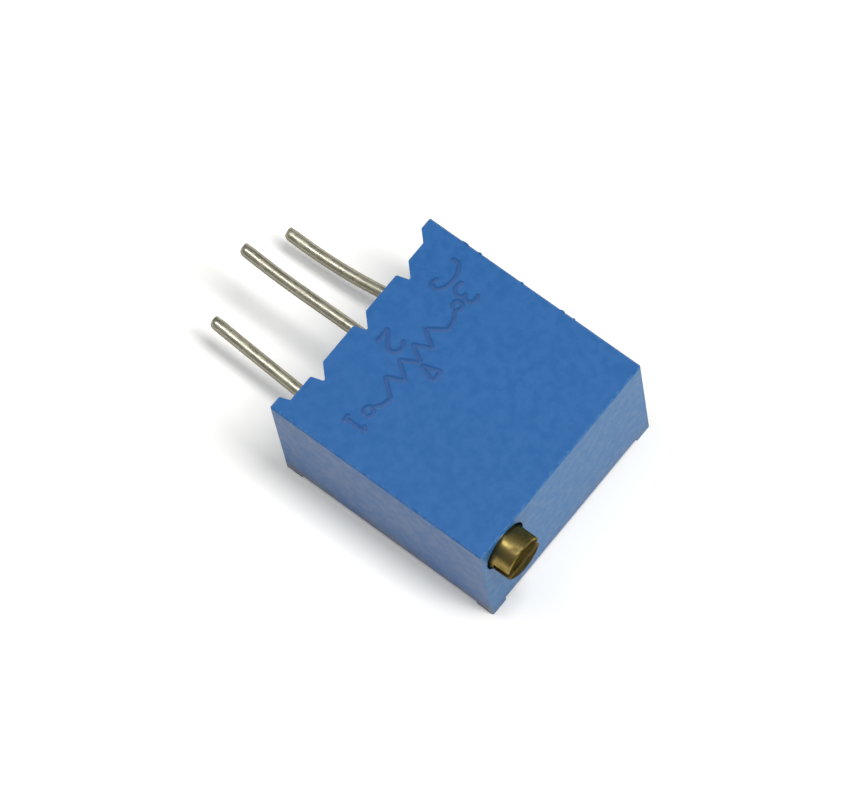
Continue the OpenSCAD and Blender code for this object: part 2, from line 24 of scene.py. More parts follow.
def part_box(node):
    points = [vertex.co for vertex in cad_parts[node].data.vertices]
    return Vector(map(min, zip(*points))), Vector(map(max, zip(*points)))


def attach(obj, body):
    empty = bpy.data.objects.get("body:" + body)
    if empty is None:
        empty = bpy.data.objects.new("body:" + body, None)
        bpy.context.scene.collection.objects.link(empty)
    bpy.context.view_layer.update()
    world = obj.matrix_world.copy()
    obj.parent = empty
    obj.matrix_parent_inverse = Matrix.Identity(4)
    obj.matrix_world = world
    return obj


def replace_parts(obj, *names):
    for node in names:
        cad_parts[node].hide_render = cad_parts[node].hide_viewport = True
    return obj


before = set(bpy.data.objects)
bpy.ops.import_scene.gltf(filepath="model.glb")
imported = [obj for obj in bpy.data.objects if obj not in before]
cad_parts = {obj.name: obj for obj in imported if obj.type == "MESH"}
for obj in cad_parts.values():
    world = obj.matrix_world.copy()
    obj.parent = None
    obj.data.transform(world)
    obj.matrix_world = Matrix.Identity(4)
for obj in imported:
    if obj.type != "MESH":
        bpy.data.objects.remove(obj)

MM = 0.001
BODY_HEIGHT = 5.9
PIN_GRID = 2.54
ORIGIN = (0.0, 0.0, 0.0)
LOG = logging.getLogger("trimmer")

Point = tuple[float, float, float]
FlatPoint = tuple[float, float]
Colour = tuple[float, float, float]
Material = bpy.types.Material
Mesh = bpy.types.Mesh
Node = bpy.types.Node
Socket = bpy.types.NodeSocket
Thing = bpy.types.Object
Tree = bpy.types.NodeTree
Sockets = dict[str, Socket]
Values = dict[str | int, object]


class Body(Enum):
    """The rigid bodies that the new pieces ride on."""

    CASE = "body"
    SCREW = "screw"


class Slot(Enum):
    """The record's finish names; no piece here takes one."""

    HOUSING = "blue_housing"
    SCREW = "screw_brass"
    WIRE = "tinned_wire"
    RESIN = "resin"


# ---------------------------------------------------------------- nodes


@dataclass
class NodeSheet:
    """Builds the nodes of one shader or geometry tree, laid out in rows of twelve."""

    tree: Tree

    def add(self, kind: str, values: Values | None = None, **settings: object) -> Node:
        """Adds a node.

        Args:
            kind: the node's type name.
            values: plain values or sockets for its inputs, by name or number.
            settings: the node's own properties.

        Returns:
            The new node.
        """
        row, column = divmod(len(self.tree.nodes), 12)
        node = self.tree.nodes.new(kind)
        node.location = (180 * column, -220 * row)
        for name, value in settings.items():
            setattr(node, name, value)
        for name, value in (values or {}).items():
            self.feed(node.inputs[name], value)
        return node

    def feed(self, socket: Socket, value: object) -> None:
        """Links a socket to another one, or sets its plain value.

        Args:
            socket: the input to feed.
            value: an output socket or a plain value.
        """
        if isinstance(value, Socket):
            self.tree.links.new(value, socket)
        else:
            socket.default_value = value

    def named(self, kind: str, values: Values | None = None, **settings: object) -> Sockets:
        """Adds a node and gives its outputs by name."""
        return {socket.name: socket for socket in self.add(kind, values, **settings).outputs}

    def effect(self, tree: Tree, place: Socket, values: Values) -> Sockets:
        """Places a shared effect with its own values, and gives its outputs by name."""
        return self.named("ShaderNodeGroup", {"Vector": place, **values}, node_tree=tree)

    def maths(self, operation: str, *values: object, clamp: bool = False) -> Socket:
        """A Math node's value."""
        inputs = dict(enumerate(values))
        return self.add("ShaderNodeMath", inputs, operation=operation, use_clamp=clamp).outputs[0]

    def times(self, *values: object) -> Socket:
        """The product of several values."""
        return reduce(lambda a, b: self.maths("MULTIPLY", a, b), values)

    def largest(self, *values: object) -> Socket:
        """The largest of several values."""
        return reduce(lambda a, b: self.maths("MAXIMUM", a, b), values)

    def vectors(self, operation: str, *values: object) -> Socket:
        """A Vector Math node's vector, or its value where it measures a length."""
        node = self.add("ShaderNodeVectorMath", dict(enumerate(values)), operation=operation)
        return node.outputs["Value" if operation == "LENGTH" else 0]

    def parts(self, vector: Socket) -> list[Socket]:
        """A vector's three components."""
        return list(self.add("ShaderNodeSeparateXYZ", {0: vector}).outputs)

    def flat(self, across: Socket, along: Socket) -> Socket:
        """A vector of two components, with nothing in the third."""
        return self.add("ShaderNodeCombineXYZ", {0: across, 1: along}).outputs[0]

    def facing(self, axis: int) -> Socket:
        """The part of the surface's normal along one axis."""
        return self.parts(self.add("ShaderNodeNewGeometry").outputs["Normal"])[axis]

    def noise(self, place: Socket, scale: object, detail: float, roughness: float = 0.5) -> Socket:
        """Soft noise round one half."""
        values = {"Vector": place, "Scale": scale, "Detail": detail, "Roughness": roughness}
        return self.add("ShaderNodeTexNoise", values).outputs["Fac"]

    def ramp(
        self, value: Socket, low: float, high: float, to_low: float = 0.0, to_high: float = 1.0
    ) -> Socket:
        """Maps a value smoothly from one range to another and clamps it.

        Args:
            value: the value.
            low: where the first range starts.
            high: where it ends.
            to_low: what low becomes.
            to_high: what high becomes.

        Returns:
            The new value.
        """
        ends = {"From Min": low, "From Max": high, "To Min": to_low, "To Max": to_high}
        values = {"Value": value, **ends}
        node = self.add("ShaderNodeMapRange", values, interpolation_type="SMOOTHSTEP")
        return node.outputs["Result"]

    def blend(self, share: Socket, under: Socket | Colour, over: Socket | Colour) -> Socket:
        """Mixes two colours.

        Args:
            share: how much of the second colour shows.
            under: the first colour.
            over: the second colour.

        Returns:
            The mixed colour.
        """
        # The node has other inputs for numbers and vectors: its two colours are 6 and 7.
        pair = [c if isinstance(c, Socket) else (*c, 1.0) for c in (under, over)]
        values = {0: share, 6: pair[0], 7: pair[1]}
        return self.add("ShaderNodeMix", values, data_type="RGBA").outputs[2]

    def layered(self, tone: Socket | Colour, *layers: tuple[Socket, Colour]) -> Socket:
        """Lays colours over a tone, one after the other, each by its own share."""
        return reduce(lambda under, layer: self.blend(layer[0], under, layer[1]), layers, tone)


def shared_effect(
    name: str, inputs: Values, draw: Callable[[NodeSheet, Sockets], Sockets]
) -> Tree:
    """Builds one shader node group whose outputs are all plain numbers.

    Args:
        name: the group's name.
        inputs: each input's usual value, a number or a vector, by name.
        draw: makes the group's nodes from its sheet and inputs, and gives its outputs.

    Returns:
        The group.
    """
    tree = bpy.data.node_groups.new(name, "ShaderNodeTree")
    for label, usual in inputs.items():
        kind = "NodeSocketFloat" if isinstance(usual, float) else "NodeSocketVector"
        socket = tree.interface.new_socket(name=label, in_out="INPUT", socket_type=kind)
        socket.default_value = usual
    sheet = NodeSheet(tree)
    results = draw(sheet, sheet.named("NodeGroupInput"))
    for label in results:
        tree.interface.new_socket(name=label, in_out="OUTPUT", socket_type="NodeSocketFloat")
    sheet.add("NodeGroupOutput", results)
    return tree


class Effects:
    """The shader effects that several finishes share, each built once.

    Each effect's method takes the group's sheet and its inputs, and gives its outputs by name.
    """

    def __init__(self) -> None:
        """Builds the groups."""
        grain = {"Vector": ORIGIN, "Coarse": 900.0, "Fine": 14000.0}
        specks = {"Vector": ORIGIN, "Scale": 6000.0, "Size": 0.12, "Patches": 700.0}
        block = {"Vector": ORIGIN, "Middle": ORIGIN, "Half Size": (1.0, 1.0, 1.0), "Width": 0.0001}
        turning = {"Vector": ORIGIN, "Axis": ORIGIN, "Fineness": 16000.0}
        self.grain = shared_effect("surface_grain", grain, self._grain)
        self.specks = shared_effect("stray_specks", specks, self._specks)
        self.block_edges = shared_effect("block_edge_wear", block, self._block_edges)
        self.turning = shared_effect("turning_lines", turning, self._turning)

    @staticmethod
    def _grain(sheet: NodeSheet, given: Sockets) -> Sockets:
        """Two sizes of soft noise, for mottling and for a fine moulded or cast surface.

        Args:
            sheet: the group's sheet.
            given: its inputs.

        Returns:
            The coarse noise as a mask, and both as a height.
        """
        coarse = sheet.noise(given["Vector"], given["Coarse"], 4.0, 0.6)
        fine = sheet.noise(given["Vector"], given["Fine"], 3.0, 0.55)
        height = sheet.maths("MULTIPLY_ADD", fine, 0.65, sheet.times(coarse, 0.35))
        return {"Mottle": sheet.ramp(coarse, 0.32, 0.68), "Height": height}

    @staticmethod
    def _specks(sheet: NodeSheet, given: Sockets) -> Sockets:
        """Sparse small dusty or stained spots.

        Args:
            sheet: the group's sheet.
            given: its inputs.

        Returns:
            The spots' mask.
        """
        place = {"Vector": given["Vector"], "Scale": given["Scale"]}
        cells = sheet.add("ShaderNodeTexVoronoi", place).outputs["Distance"]
        spot = sheet.maths("LESS_THAN", cells, given["Size"])
        where = sheet.ramp(sheet.noise(given["Vector"], given["Patches"], 2.0), 0.5, 0.62)
        return {"Mask": sheet.times(spot, where)}

    @staticmethod
    def _block_edges(sheet: NodeSheet, given: Sockets) -> Sockets:
        """How near a point is to an edge of a box, broken up by noise, for edges worn lighter with
        a painted highlight.

        Args:
            sheet: the group's sheet.
            given: its inputs.

        Returns:
            The edges' mask.
        """
        centred = sheet.vectors("SUBTRACT", given["Vector"], given["Middle"])
        away = sheet.vectors("ABSOLUTE", centred)
        inset = sheet.parts(sheet.vectors("SUBTRACT", given["Half Size"], away))
        broken = sheet.noise(given["Vector"], 5200.0, 4.0, 0.7)
        width = sheet.times(given["Width"], sheet.ramp(broken, 0.3, 0.72, 0.3, 1.7))
        shares = [sheet.maths("DIVIDE", part, width) for part in inset]
        near = [sheet.maths("SUBTRACT", 1.0, share, clamp=True) for share in shares]
        pairs = [sheet.times(near[a], near[b]) for a, b in ((0, 1), (1, 2), (0, 2))]
        return {"Mask": sheet.maths("POWER", sheet.largest(*pairs), 0.5, clamp=True)}

    @staticmethod
    def _turning(sheet: NodeSheet, given: Sockets) -> Sockets:
        """Fine lines round an axis that runs along Y, as a lathe tool leaves them.

        Args:
            sheet: the group's sheet.
            given: its inputs.

        Returns:
            The lines' height, and a tone that wanders over the metal.
        """
        across, along, up = sheet.parts(sheet.vectors("SUBTRACT", given["Vector"], given["Axis"]))
        radius = sheet.vectors("LENGTH", sheet.flat(across, up))
        lines = sheet.noise(sheet.flat(radius, along), given["Fineness"], 2.0)
        stain = sheet.noise(given["Vector"], 2200.0, 5.0, 0.65)
        return {"Height": lines, "Tone": sheet.ramp(stain, 0.35, 0.7)}


# ---------------------------------------------------------------- finishes


@dataclass(frozen=True)
class Look:
    """What a finish changes over a surface: its colour, and a dullness and a height from 0 to 1."""

    tone: Socket
    dullness: Socket
    height: Socket


@dataclass(frozen=True)
class Finish:
    """What every finish has: a name, a main colour, a gloss and a relief.

    The dullness moves the roughness between the two ends of span, and depth is in millimetres.
    """

    name: str
    colour: Colour
    roughness: float
    span: tuple[float, float] = (0.0, 0.1)
    depth: float = 0.006
    strength: float = 0.7
    metallic: float = 0.0
    specular: float = 0.5
    rim: Colour = (1.0, 1.0, 1.0)

    def toned(self, by: Colour) -> Colour:
        """The main colour with each of its parts multiplied, none past 1."""
        return tuple(min(1.0, part * more) for part, more in zip(self.colour, by))

    def look(self, sheet: NodeSheet, place: Socket, effects: Effects) -> Look:
        """Draws what changes over the surface; each finish has its own."""
        raise NotImplementedError

    def build(self, effects: Effects) -> Material:
        """Makes the material.

        Args:
            effects: the shared shader effects.

        Returns:
            The material.
        """
        material = bpy.data.materials.new(self.name)
        material.use_nodes = True
        material.diffuse_color = (*self.colour, 1.0)
        material.node_tree.nodes.clear()
        sheet = NodeSheet(material.node_tree)
        look = self.look(sheet, sheet.add("ShaderNodeTexCoord").outputs["Object"], effects)
        plain = {
            "Base Color": (*self.colour, 1.0),
            "Roughness": self.roughness,
            "Metallic": self.metallic,
            "Specular IOR Level": self.specular,
            "Specular Tint": (*self.rim, 1.0),
        }
        shader = sheet.add("ShaderNodeBsdfPrincipled", plain)
        relief = {"Strength": self.strength, "Distance": self.depth * MM, "Height": look.height}
        dull, duller = (self.roughness + change for change in self.span)
        sheet.feed(shader.inputs["Base Color"], look.tone)
        sheet.feed(shader.inputs["Roughness"], sheet.ramp(look.dullness, 0.0, 1.0, dull, duller))
        sheet.feed(shader.inputs["Normal"], sheet.add("ShaderNodeBump", relief).outputs[0])
        sheet.add("ShaderNodeOutputMaterial", {"Surface": shader.outputs[0]})
        return material


@dataclass(frozen=True)
class MouldedBlue(Finish):
    """The housing's blue thermoset: faint mottling, fine grain, edges worn lighter with a painted
    highlight, a dusty foot darkened further by painted shade, painted shade on the marks' flanks, a
    painted sheen on the side walls and painted light on the two ends.

    The fields that end in by multiply the main colour, and the shares say how strong a layer is.
    """

    span: tuple[float, float] = (-0.04, 0.06)
    strength: float = 0.8
    specular: float = 0.36
    low: Point = ORIGIN
    high: Point = (1.0, 1.0, 1.0)
    dark_by: Colour = (0.85, 0.95, 0.96)
    light_by: Colour = (1.15, 1.05, 1.04)
    marks_shade_by: Colour = (0.9, 0.66, 0.72)
    # painted light on the two end walls
    ends_painted_light_by: Colour = (1.8, 1.65, 1.28)
    ends_painted_light_share: float = 0.6
    # chalky bloom with a painted sheen on the outer walls
    chalk_and_painted_sheen: Colour = (0.17, 0.245, 0.285)
    # a dusty foot with painted shade near the table
    dust_and_painted_shade: Colour = (0.135, 0.1, 0.075)
    dust_and_painted_shade_share: float = 0.72
    # edges worn lighter, with a painted highlight
    rubbed_and_painted_highlight: Colour = (0.14, 0.28, 0.48)
    rubbed_and_painted_highlight_share: float = 0.35
    speck: Colour = (0.09, 0.1, 0.09)
    speck_share: float = 0.35
    edge_width: float = 0.07
    foot_dark_from: float = 1.1
    foot_dark_to: float = 0.05

    def look(self, sheet: NodeSheet, place: Socket, effects: Effects) -> Look:
        """Mottles the blue, then lays over it painted shade on the marks' flanks, painted light on
        the two ends, a painted sheen on the walls, a dusty foot with painted shade and worn edges
        with a painted highlight.

        Args:
            sheet: the material's sheet.
            place: the Object coordinates.
            effects: the shared shader effects.

        Returns:
            What changes over the housing.
        """
        low, high = Vector(self.low), Vector(self.high)
        grain = sheet.effect(effects.grain, place, {"Coarse": 2600.0, "Fine": 15000.0})
        width = self.edge_width * MM
        block = {"Middle": (low + high) / 2, "Half Size": (high - low) / 2, "Width": width}
        edges = sheet.effect(effects.block_edges, place, block)
        spots = {"Scale": 7000.0, "Size": 0.16, "Patches": 900.0}
        specks = sheet.effect(effects.specks, place, spots)
        parts = sheet.parts(place)
        sides, ends = self._outer_walls(sheet, parts)
        clouds = sheet.noise(place, 520.0, 5.0, 0.62)
        foot = sheet.ramp(parts[2], self.foot_dark_from * MM, self.foot_dark_to * MM)
        uneven = sheet.ramp(clouds, 0.3, 0.55, 0.25, 1.0)
        tone = sheet.layered(
            sheet.blend(grain["Mottle"], self.toned(self.dark_by), self.toned(self.light_by)),
            # painted shade: the raised marks' flanks are darkened in the colour, standing in for
            # their own shade
            (self._marks_painted_shade(sheet, parts[2]), self.toned(self.marks_shade_by)),
            # painted light: the two end walls are lightened in the colour, as sides that face the
            # light look
            (sheet.times(ends, self.ends_painted_light_share), self.toned(self.ends_painted_light_by)),
            # chalky bloom and painted sheen: the outer walls are lightened towards grey-white, as a
            # grazing reflection of the table looks
            (sheet.times(sides, sheet.ramp(clouds, 0.35, 0.75, 0.02, 0.2)), self.chalk_and_painted_sheen),
            # dust with painted shade: the walls are darkened towards the table
            (sheet.times(foot, sides, uneven, self.dust_and_painted_shade_share), self.dust_and_painted_shade),
            # worn edges with a painted highlight: lightened along every edge of the box
            (sheet.times(edges["Mask"], self.rubbed_and_painted_highlight_share), self.rubbed_and_painted_highlight),
            (sheet.times(specks["Mask"], sides, self.speck_share), self.speck),
        )
        return Look(tone, grain["Mottle"], grain["Height"])

    def _outer_walls(self, sheet: NodeSheet, parts: Sequence[Socket]) -> tuple[Socket, Socket]:
        """Finds the outermost upright walls, without the flat faces and the notches.

        Args:
            sheet: the material's sheet.
            parts: the Object coordinates, one by one.

        Returns:
            The mask of all outer walls, weaker on the two ends, and the mask of the two ends.
        """
        wall = sheet.ramp(sheet.maths("ABSOLUTE", sheet.facing(2)), 0.9, 0.5)
        spans = zip(parts[:2], self.low, self.high)
        across, along = (self._beyond(sheet, *span) for span in spans)
        outer = sheet.largest(across, sheet.times(along, 0.3))
        return sheet.times(wall, outer), sheet.times(wall, along)

    @staticmethod
    def _beyond(sheet: NodeSheet, part: Socket, low: float, high: float) -> Socket:
        """Finds the places within a hair of either end of a span along one axis.

        Args:
            sheet: the material's sheet.
            part: the place along the axis.
            low: the span's lower end.
            high: its upper end.

        Returns:
            Their mask.
        """
        middle, half = (low + high) / 2, (high - low) / 2
        away = sheet.maths("ABSOLUTE", sheet.maths("SUBTRACT", part, middle))
        return sheet.ramp(away, half - 0.06 * MM, half - 0.03 * MM)

    def _marks_painted_shade(self, sheet: NodeSheet, level: Socket) -> Socket:
        """How much painted shade darkens the raised marks: most on their flanks, less on their
        crests.

        Args:
            sheet: the material's sheet.
            level: the Object coordinates' Z.

        Returns:
            The share.
        """
        face = self.high[2]
        flank = sheet.ramp(level, face + 0.0006 * MM, face + 0.003 * MM)
        crest = sheet.ramp(level, face + 0.007 * MM, face + 0.011 * MM, 1.0, 0.65)
        return sheet.times(flank, crest)


@dataclass(frozen=True)
class TurnedMetal(Finish):
    """A lathe-turned metal with tool lines, a tarnished tone that changes over it, and a dark end
    face: a cut face with painted shade.
    """

    span: tuple[float, float] = (0.0, 0.2)
    metallic: float = 1.0
    rim: Colour = (0.42, 0.4, 0.34)
    tarnish_and_flank_shade: Colour = (0.045, 0.038, 0.02)
    tarnish_and_flank_shade_share: float = 0.7
    # a dull cut face, darkened further with painted shade
    sawn_and_shaded: Colour = (0.035, 0.032, 0.022)
    sawn_and_shaded_share: float = 0.85
    axis: Point = ORIGIN

    def look(self, sheet: NodeSheet, place: Socket, effects: Effects) -> Look:
        """Tarnishes the metal and darkens the face that looks along -Y: a dull cut face, with
        painted shade.

        Args:
            sheet: the material's sheet.
            place: the Object coordinates.
            effects: the shared shader effects.

        Returns:
            What changes over the metal.
        """
        lines = sheet.effect(effects.turning, place, {"Axis": self.axis, "Fineness": 15000.0})
        # painted shade: the face that looks along -Y is darkened in the colour, on top of its dull
        # cut surface
        ahead = sheet.ramp(sheet.facing(1), -0.85, -0.98)
        tone = sheet.layered(
            self.colour,
            (sheet.times(lines["Tone"], self.tarnish_and_flank_shade_share), self.tarnish_and_flank_shade),
            (sheet.times(ahead, self.sawn_and_shaded_share), self.sawn_and_shaded),
        )
        return Look(tone, lines["Tone"], lines["Height"])


@dataclass(frozen=True)
class DippedTin(Finish):
    """Solder-dipped wire: bright metal with dull, yellowish patches and drawn streaks."""

    span: tuple[float, float] = (0.0, 0.16)
    depth: float = 0.008
    strength: float = 0.8
    metallic: float = 1.0
    rim: Colour = (0.45, 0.43, 0.36)
    dull: Colour = (0.46, 0.43, 0.33)
    dull_share: float = 0.75
    # painted shade on the wire's flanks
    tarnish_and_flank_shade: Colour = (0.215, 0.198, 0.155)
    tarnish_and_flank_shade_share: float = 0.82
    grime: Colour = (0.16, 0.14, 0.1)
    grime_share: float = 0.25
    drawn_out: float = 0.14

    def look(self, sheet: NodeSheet, place: Socket, effects: Effects) -> Look:
        """Streaks the tin along the wire, darkens its flanks with painted shade and dots it with
        grime.

        Args:
            sheet: the material's sheet.
            place: the Object coordinates.
            effects: the shared shader effects.

        Returns:
            What changes over the wire.
        """
        stretched = {"Vector": place, "Scale": (1.0, self.drawn_out, 1.0)}
        drawn = sheet.add("ShaderNodeMapping", stretched).outputs[0]
        streaks = sheet.effect(effects.grain, drawn, {"Coarse": 3200.0, "Fine": 20000.0})
        lumps = sheet.effect(effects.grain, place, {"Coarse": 2400.0, "Fine": 9000.0})
        spots = {"Scale": 9000.0, "Size": 0.3, "Patches": 1500.0}
        specks = sheet.effect(effects.specks, place, spots)
        # painted shade: where the normal turns sideways, the wire's flanks are darkened, as dark
        # reflections look
        aside = sheet.ramp(sheet.maths("ABSOLUTE", sheet.facing(2)), 0.9, 0.4)
        tone = sheet.layered(
            self.colour,
            (sheet.times(streaks["Mottle"], self.dull_share), self.dull),
            (sheet.times(aside, self.tarnish_and_flank_shade_share), self.tarnish_and_flank_shade),
            (sheet.times(specks["Mask"], self.grime_share), self.grime),
        )
        height = sheet.maths("ADD", streaks["Height"], lumps["Height"])
        return Look(tone, lumps["Mottle"], height)


@dataclass(frozen=True)
class CastResin(Finish):
    """Epoxy that was poured in the back: glossy, with a faint skin and a few pits."""

    span: tuple[float, float] = (0.0, 0.18)
    depth: float = 0.02
    strength: float = 0.6
    dark_by: Colour = (0.7, 0.75, 0.8)
    light_by: Colour = (1.3, 1.2, 1.15)
    pits_by: Colour = (0.3, 0.3, 0.3)
    pits_share: float = 0.6

    def look(self, sheet: NodeSheet, place: Socket, effects: Effects) -> Look:
        """Mottles the resin and dots it with dark pits.

        Args:
            sheet: the material's sheet.
            place: the Object coordinates.
            effects: the shared shader effects.

        Returns:
            What changes over the resin.
        """
        skin = sheet.effect(effects.grain, place, {"Coarse": 480.0, "Fine": 5200.0})
        pits = {"Scale": 3200.0, "Size": 0.14, "Patches": 500.0}
        specks = sheet.effect(effects.specks, place, pits)
        tone = sheet.layered(
            sheet.blend(skin["Mottle"], self.toned(self.dark_by), self.toned(self.light_by)),
            (sheet.times(specks["Mask"], self.pits_share), self.toned(self.pits_by)),
        )
        return Look(tone, skin["Mottle"], skin["Height"])


@dataclass(frozen=True)
class InnerStuff(Finish):
    """A finish for the pieces inside: two tones of grain, metal or not."""

    depth: float = 0.004
    variation: float = 0.15
    coarse: float = 1500.0
    fine: float = 16000.0

    def look(self, sheet: NodeSheet, place: Socket, effects: Effects) -> Look:
        """Varies the colour both ways by the grain.

        Args:
            sheet: the material's sheet.
            place: the Object coordinates.
            effects: the shared shader effects.

        Returns:
            What changes over the piece.
        """
        grain = sheet.effect(effects.grain, place, {"Coarse": self.coarse, "Fine": self.fine})
        dark, light = (self.toned((1 + by,) * 3) for by in (-self.variation, self.variation))
        return Look(sheet.blend(grain["Mottle"], dark, light), grain["Mottle"], grain["Height"])


# ---------------------------------------------------------------- meshes


def placed(name: str, data: bpy.types.ID) -> Thing:
    """Puts some data in the scene.

    Args:
        name: the object's name.
        data: its mesh, light or camera.

    Returns:
        The object, at the origin.
    """
    thing = bpy.data.objects.new(name, data)
    bpy.context.scene.collection.objects.link(thing)
    return thing


def mesh_object(
    name: str, points: Sequence[Point], faces: Sequence[Sequence[int]], edges: Sequence[tuple] = ()
) -> Thing:
    """Makes an object from points in millimetres.

    Args:
        name: the piece's name.
        points: the mesh's points.
        faces: the faces, as numbers of points.
        edges: loose edges, as pairs of points.

    Returns:
        The object.
    """
    mesh = bpy.data.meshes.new(name)
    mesh.from_pydata(points, edges, faces)
    mesh.validate()
    return placed(name, mesh)


@contextmanager
def editing(source: Mesh, target: Mesh | None = None) -> Iterator[bmesh.types.BMesh]:
    """Opens a mesh for editing, then writes it back or to another mesh.

    Args:
        source: the mesh to read.
        target: the mesh to write, where it isn't the same.

    Yields:
        The mesh under edit.
    """
    work = bmesh.new()
    work.from_mesh(source)
    yield work
    work.to_mesh(target or source)
    work.free()


def outward(thing: Thing) -> Thing:
    """Turns all of a closed shell's faces outwards."""
    with editing(thing.data) as work:
        bmesh.ops.recalc_face_normals(work, faces=work.faces)
    return thing


def smooth(thing: Thing, angle: float) -> Thing:
    """Shades a mesh smooth, with its sharper edges kept.

    Args:
        thing: the object.
        angle: how far an edge may turn and still be smooth, in degrees.

    Returns:
        The same object.
    """
    with editing(thing.data) as work:
        for face in work.faces:
            face.smooth = True
        for edge in work.edges:
            turn = edge.calc_face_angle(0.0)
            edge.smooth = len(edge.link_faces) != 2 or turn < math.radians(angle)
    return thing


def baked(thing: Thing) -> Thing:
    """Turns what an object's modifiers make into its plain mesh, and takes the modifiers off.

    Args:
        thing: the object.

    Returns:
        The same object.
    """
    bpy.context.view_layer.update()
    seen = thing.evaluated_get(bpy.context.evaluated_depsgraph_get())
    mesh = bpy.data.meshes.new_from_object(seen)
    thing.modifiers.clear()
    thing.data = mesh
    return thing


def to_metres(thing: Thing) -> Thing:
    """Scales a finished mesh from millimetres to metres.

    Args:
        thing: the object.

    Returns:
        The same object.
    """
    thing.data.transform(Matrix.Scale(MM, 4))
    thing.data.update()
    return thing


def dress(thing: Thing, material: Material, body: Body) -> Thing:
    """Scales a finished piece to metres and gives it its one material and its body.

    Args:
        thing: the piece.
        material: its material.
        body: the body that it rides on.

    Returns:
        The same piece.
    """
    to_metres(thing)
    thing.data.materials.clear()
    thing.data.materials.append(material)
    for face in thing.data.polygons:
        face.material_index = 0
    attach(thing, body.value)
    return thing


def unit(arrow: np.ndarray) -> np.ndarray:
    """An arrow of the same direction, 1 long."""
    return arrow / np.linalg.norm(arrow)


def eased(profile: Sequence[FlatPoint], size: float, steps: int = 3) -> list[FlatPoint]:
    """Rounds the inner corners of an open profile by a small amount.

    Args:
        profile: the profile's points.
        size: how far from a corner its curve starts, at most.
        steps: how many straight pieces a curve has.

    Returns:
        The new points.
    """
    result = [profile[0]]
    for corners in zip(profile, profile[1:], profile[2:]):
        p, c, n = (np.array(q, float) for q in corners)
        reach = min(size, 0.4 * np.linalg.norm(p - c), 0.4 * np.linalg.norm(n - c))
        a, b = c + unit(p - c) * reach, c + unit(n - c) * reach
        for t in (k / steps for k in range(steps + 1)):
            q = (1 - t) ** 2 * a + 2 * t * (1 - t) * c + t**2 * b
            result.append((float(q[0]), float(q[1])))
    return [*result, profile[-1]]


def turned(name: str, profile: Sequence[FlatPoint], sides: int) -> Thing:
    """Turns a profile round Z into a closed shell.

    Args:
        name: the object's name.
        profile: the points' radius and height, from the axis to the axis.
        sides: how many points a ring has.

    Returns:
        The object.
    """
    points: list[Point] = []
    rings: list[range] = []
    for radius, height in profile:
        turns = [2 * math.pi * k / sides for k in range(sides if radius > 0 else 1)]
        rings.append(range(len(points), len(points) + len(turns)))
        points.extend((radius * math.cos(a), radius * math.sin(a), height) for a in turns)
    faces = []
    for low, high in zip(rings, rings[1:]):
        for k in range(sides):
            below, above = ([ring[n % len(ring)] for n in (k, k + 1)] for ring in (low, high))
            faces.append(tuple(dict.fromkeys([*below, *reversed(above)])))
    return outward(mesh_object(name, points, faces))


# ---------------------------------------------------------------- sweeps along a path


class Section(Enum):
    """The cross-sections that are swept along a path."""

    ROUND = "round"
    SOFT_RIB = "soft_rib"
    RIDGE = "ridge"


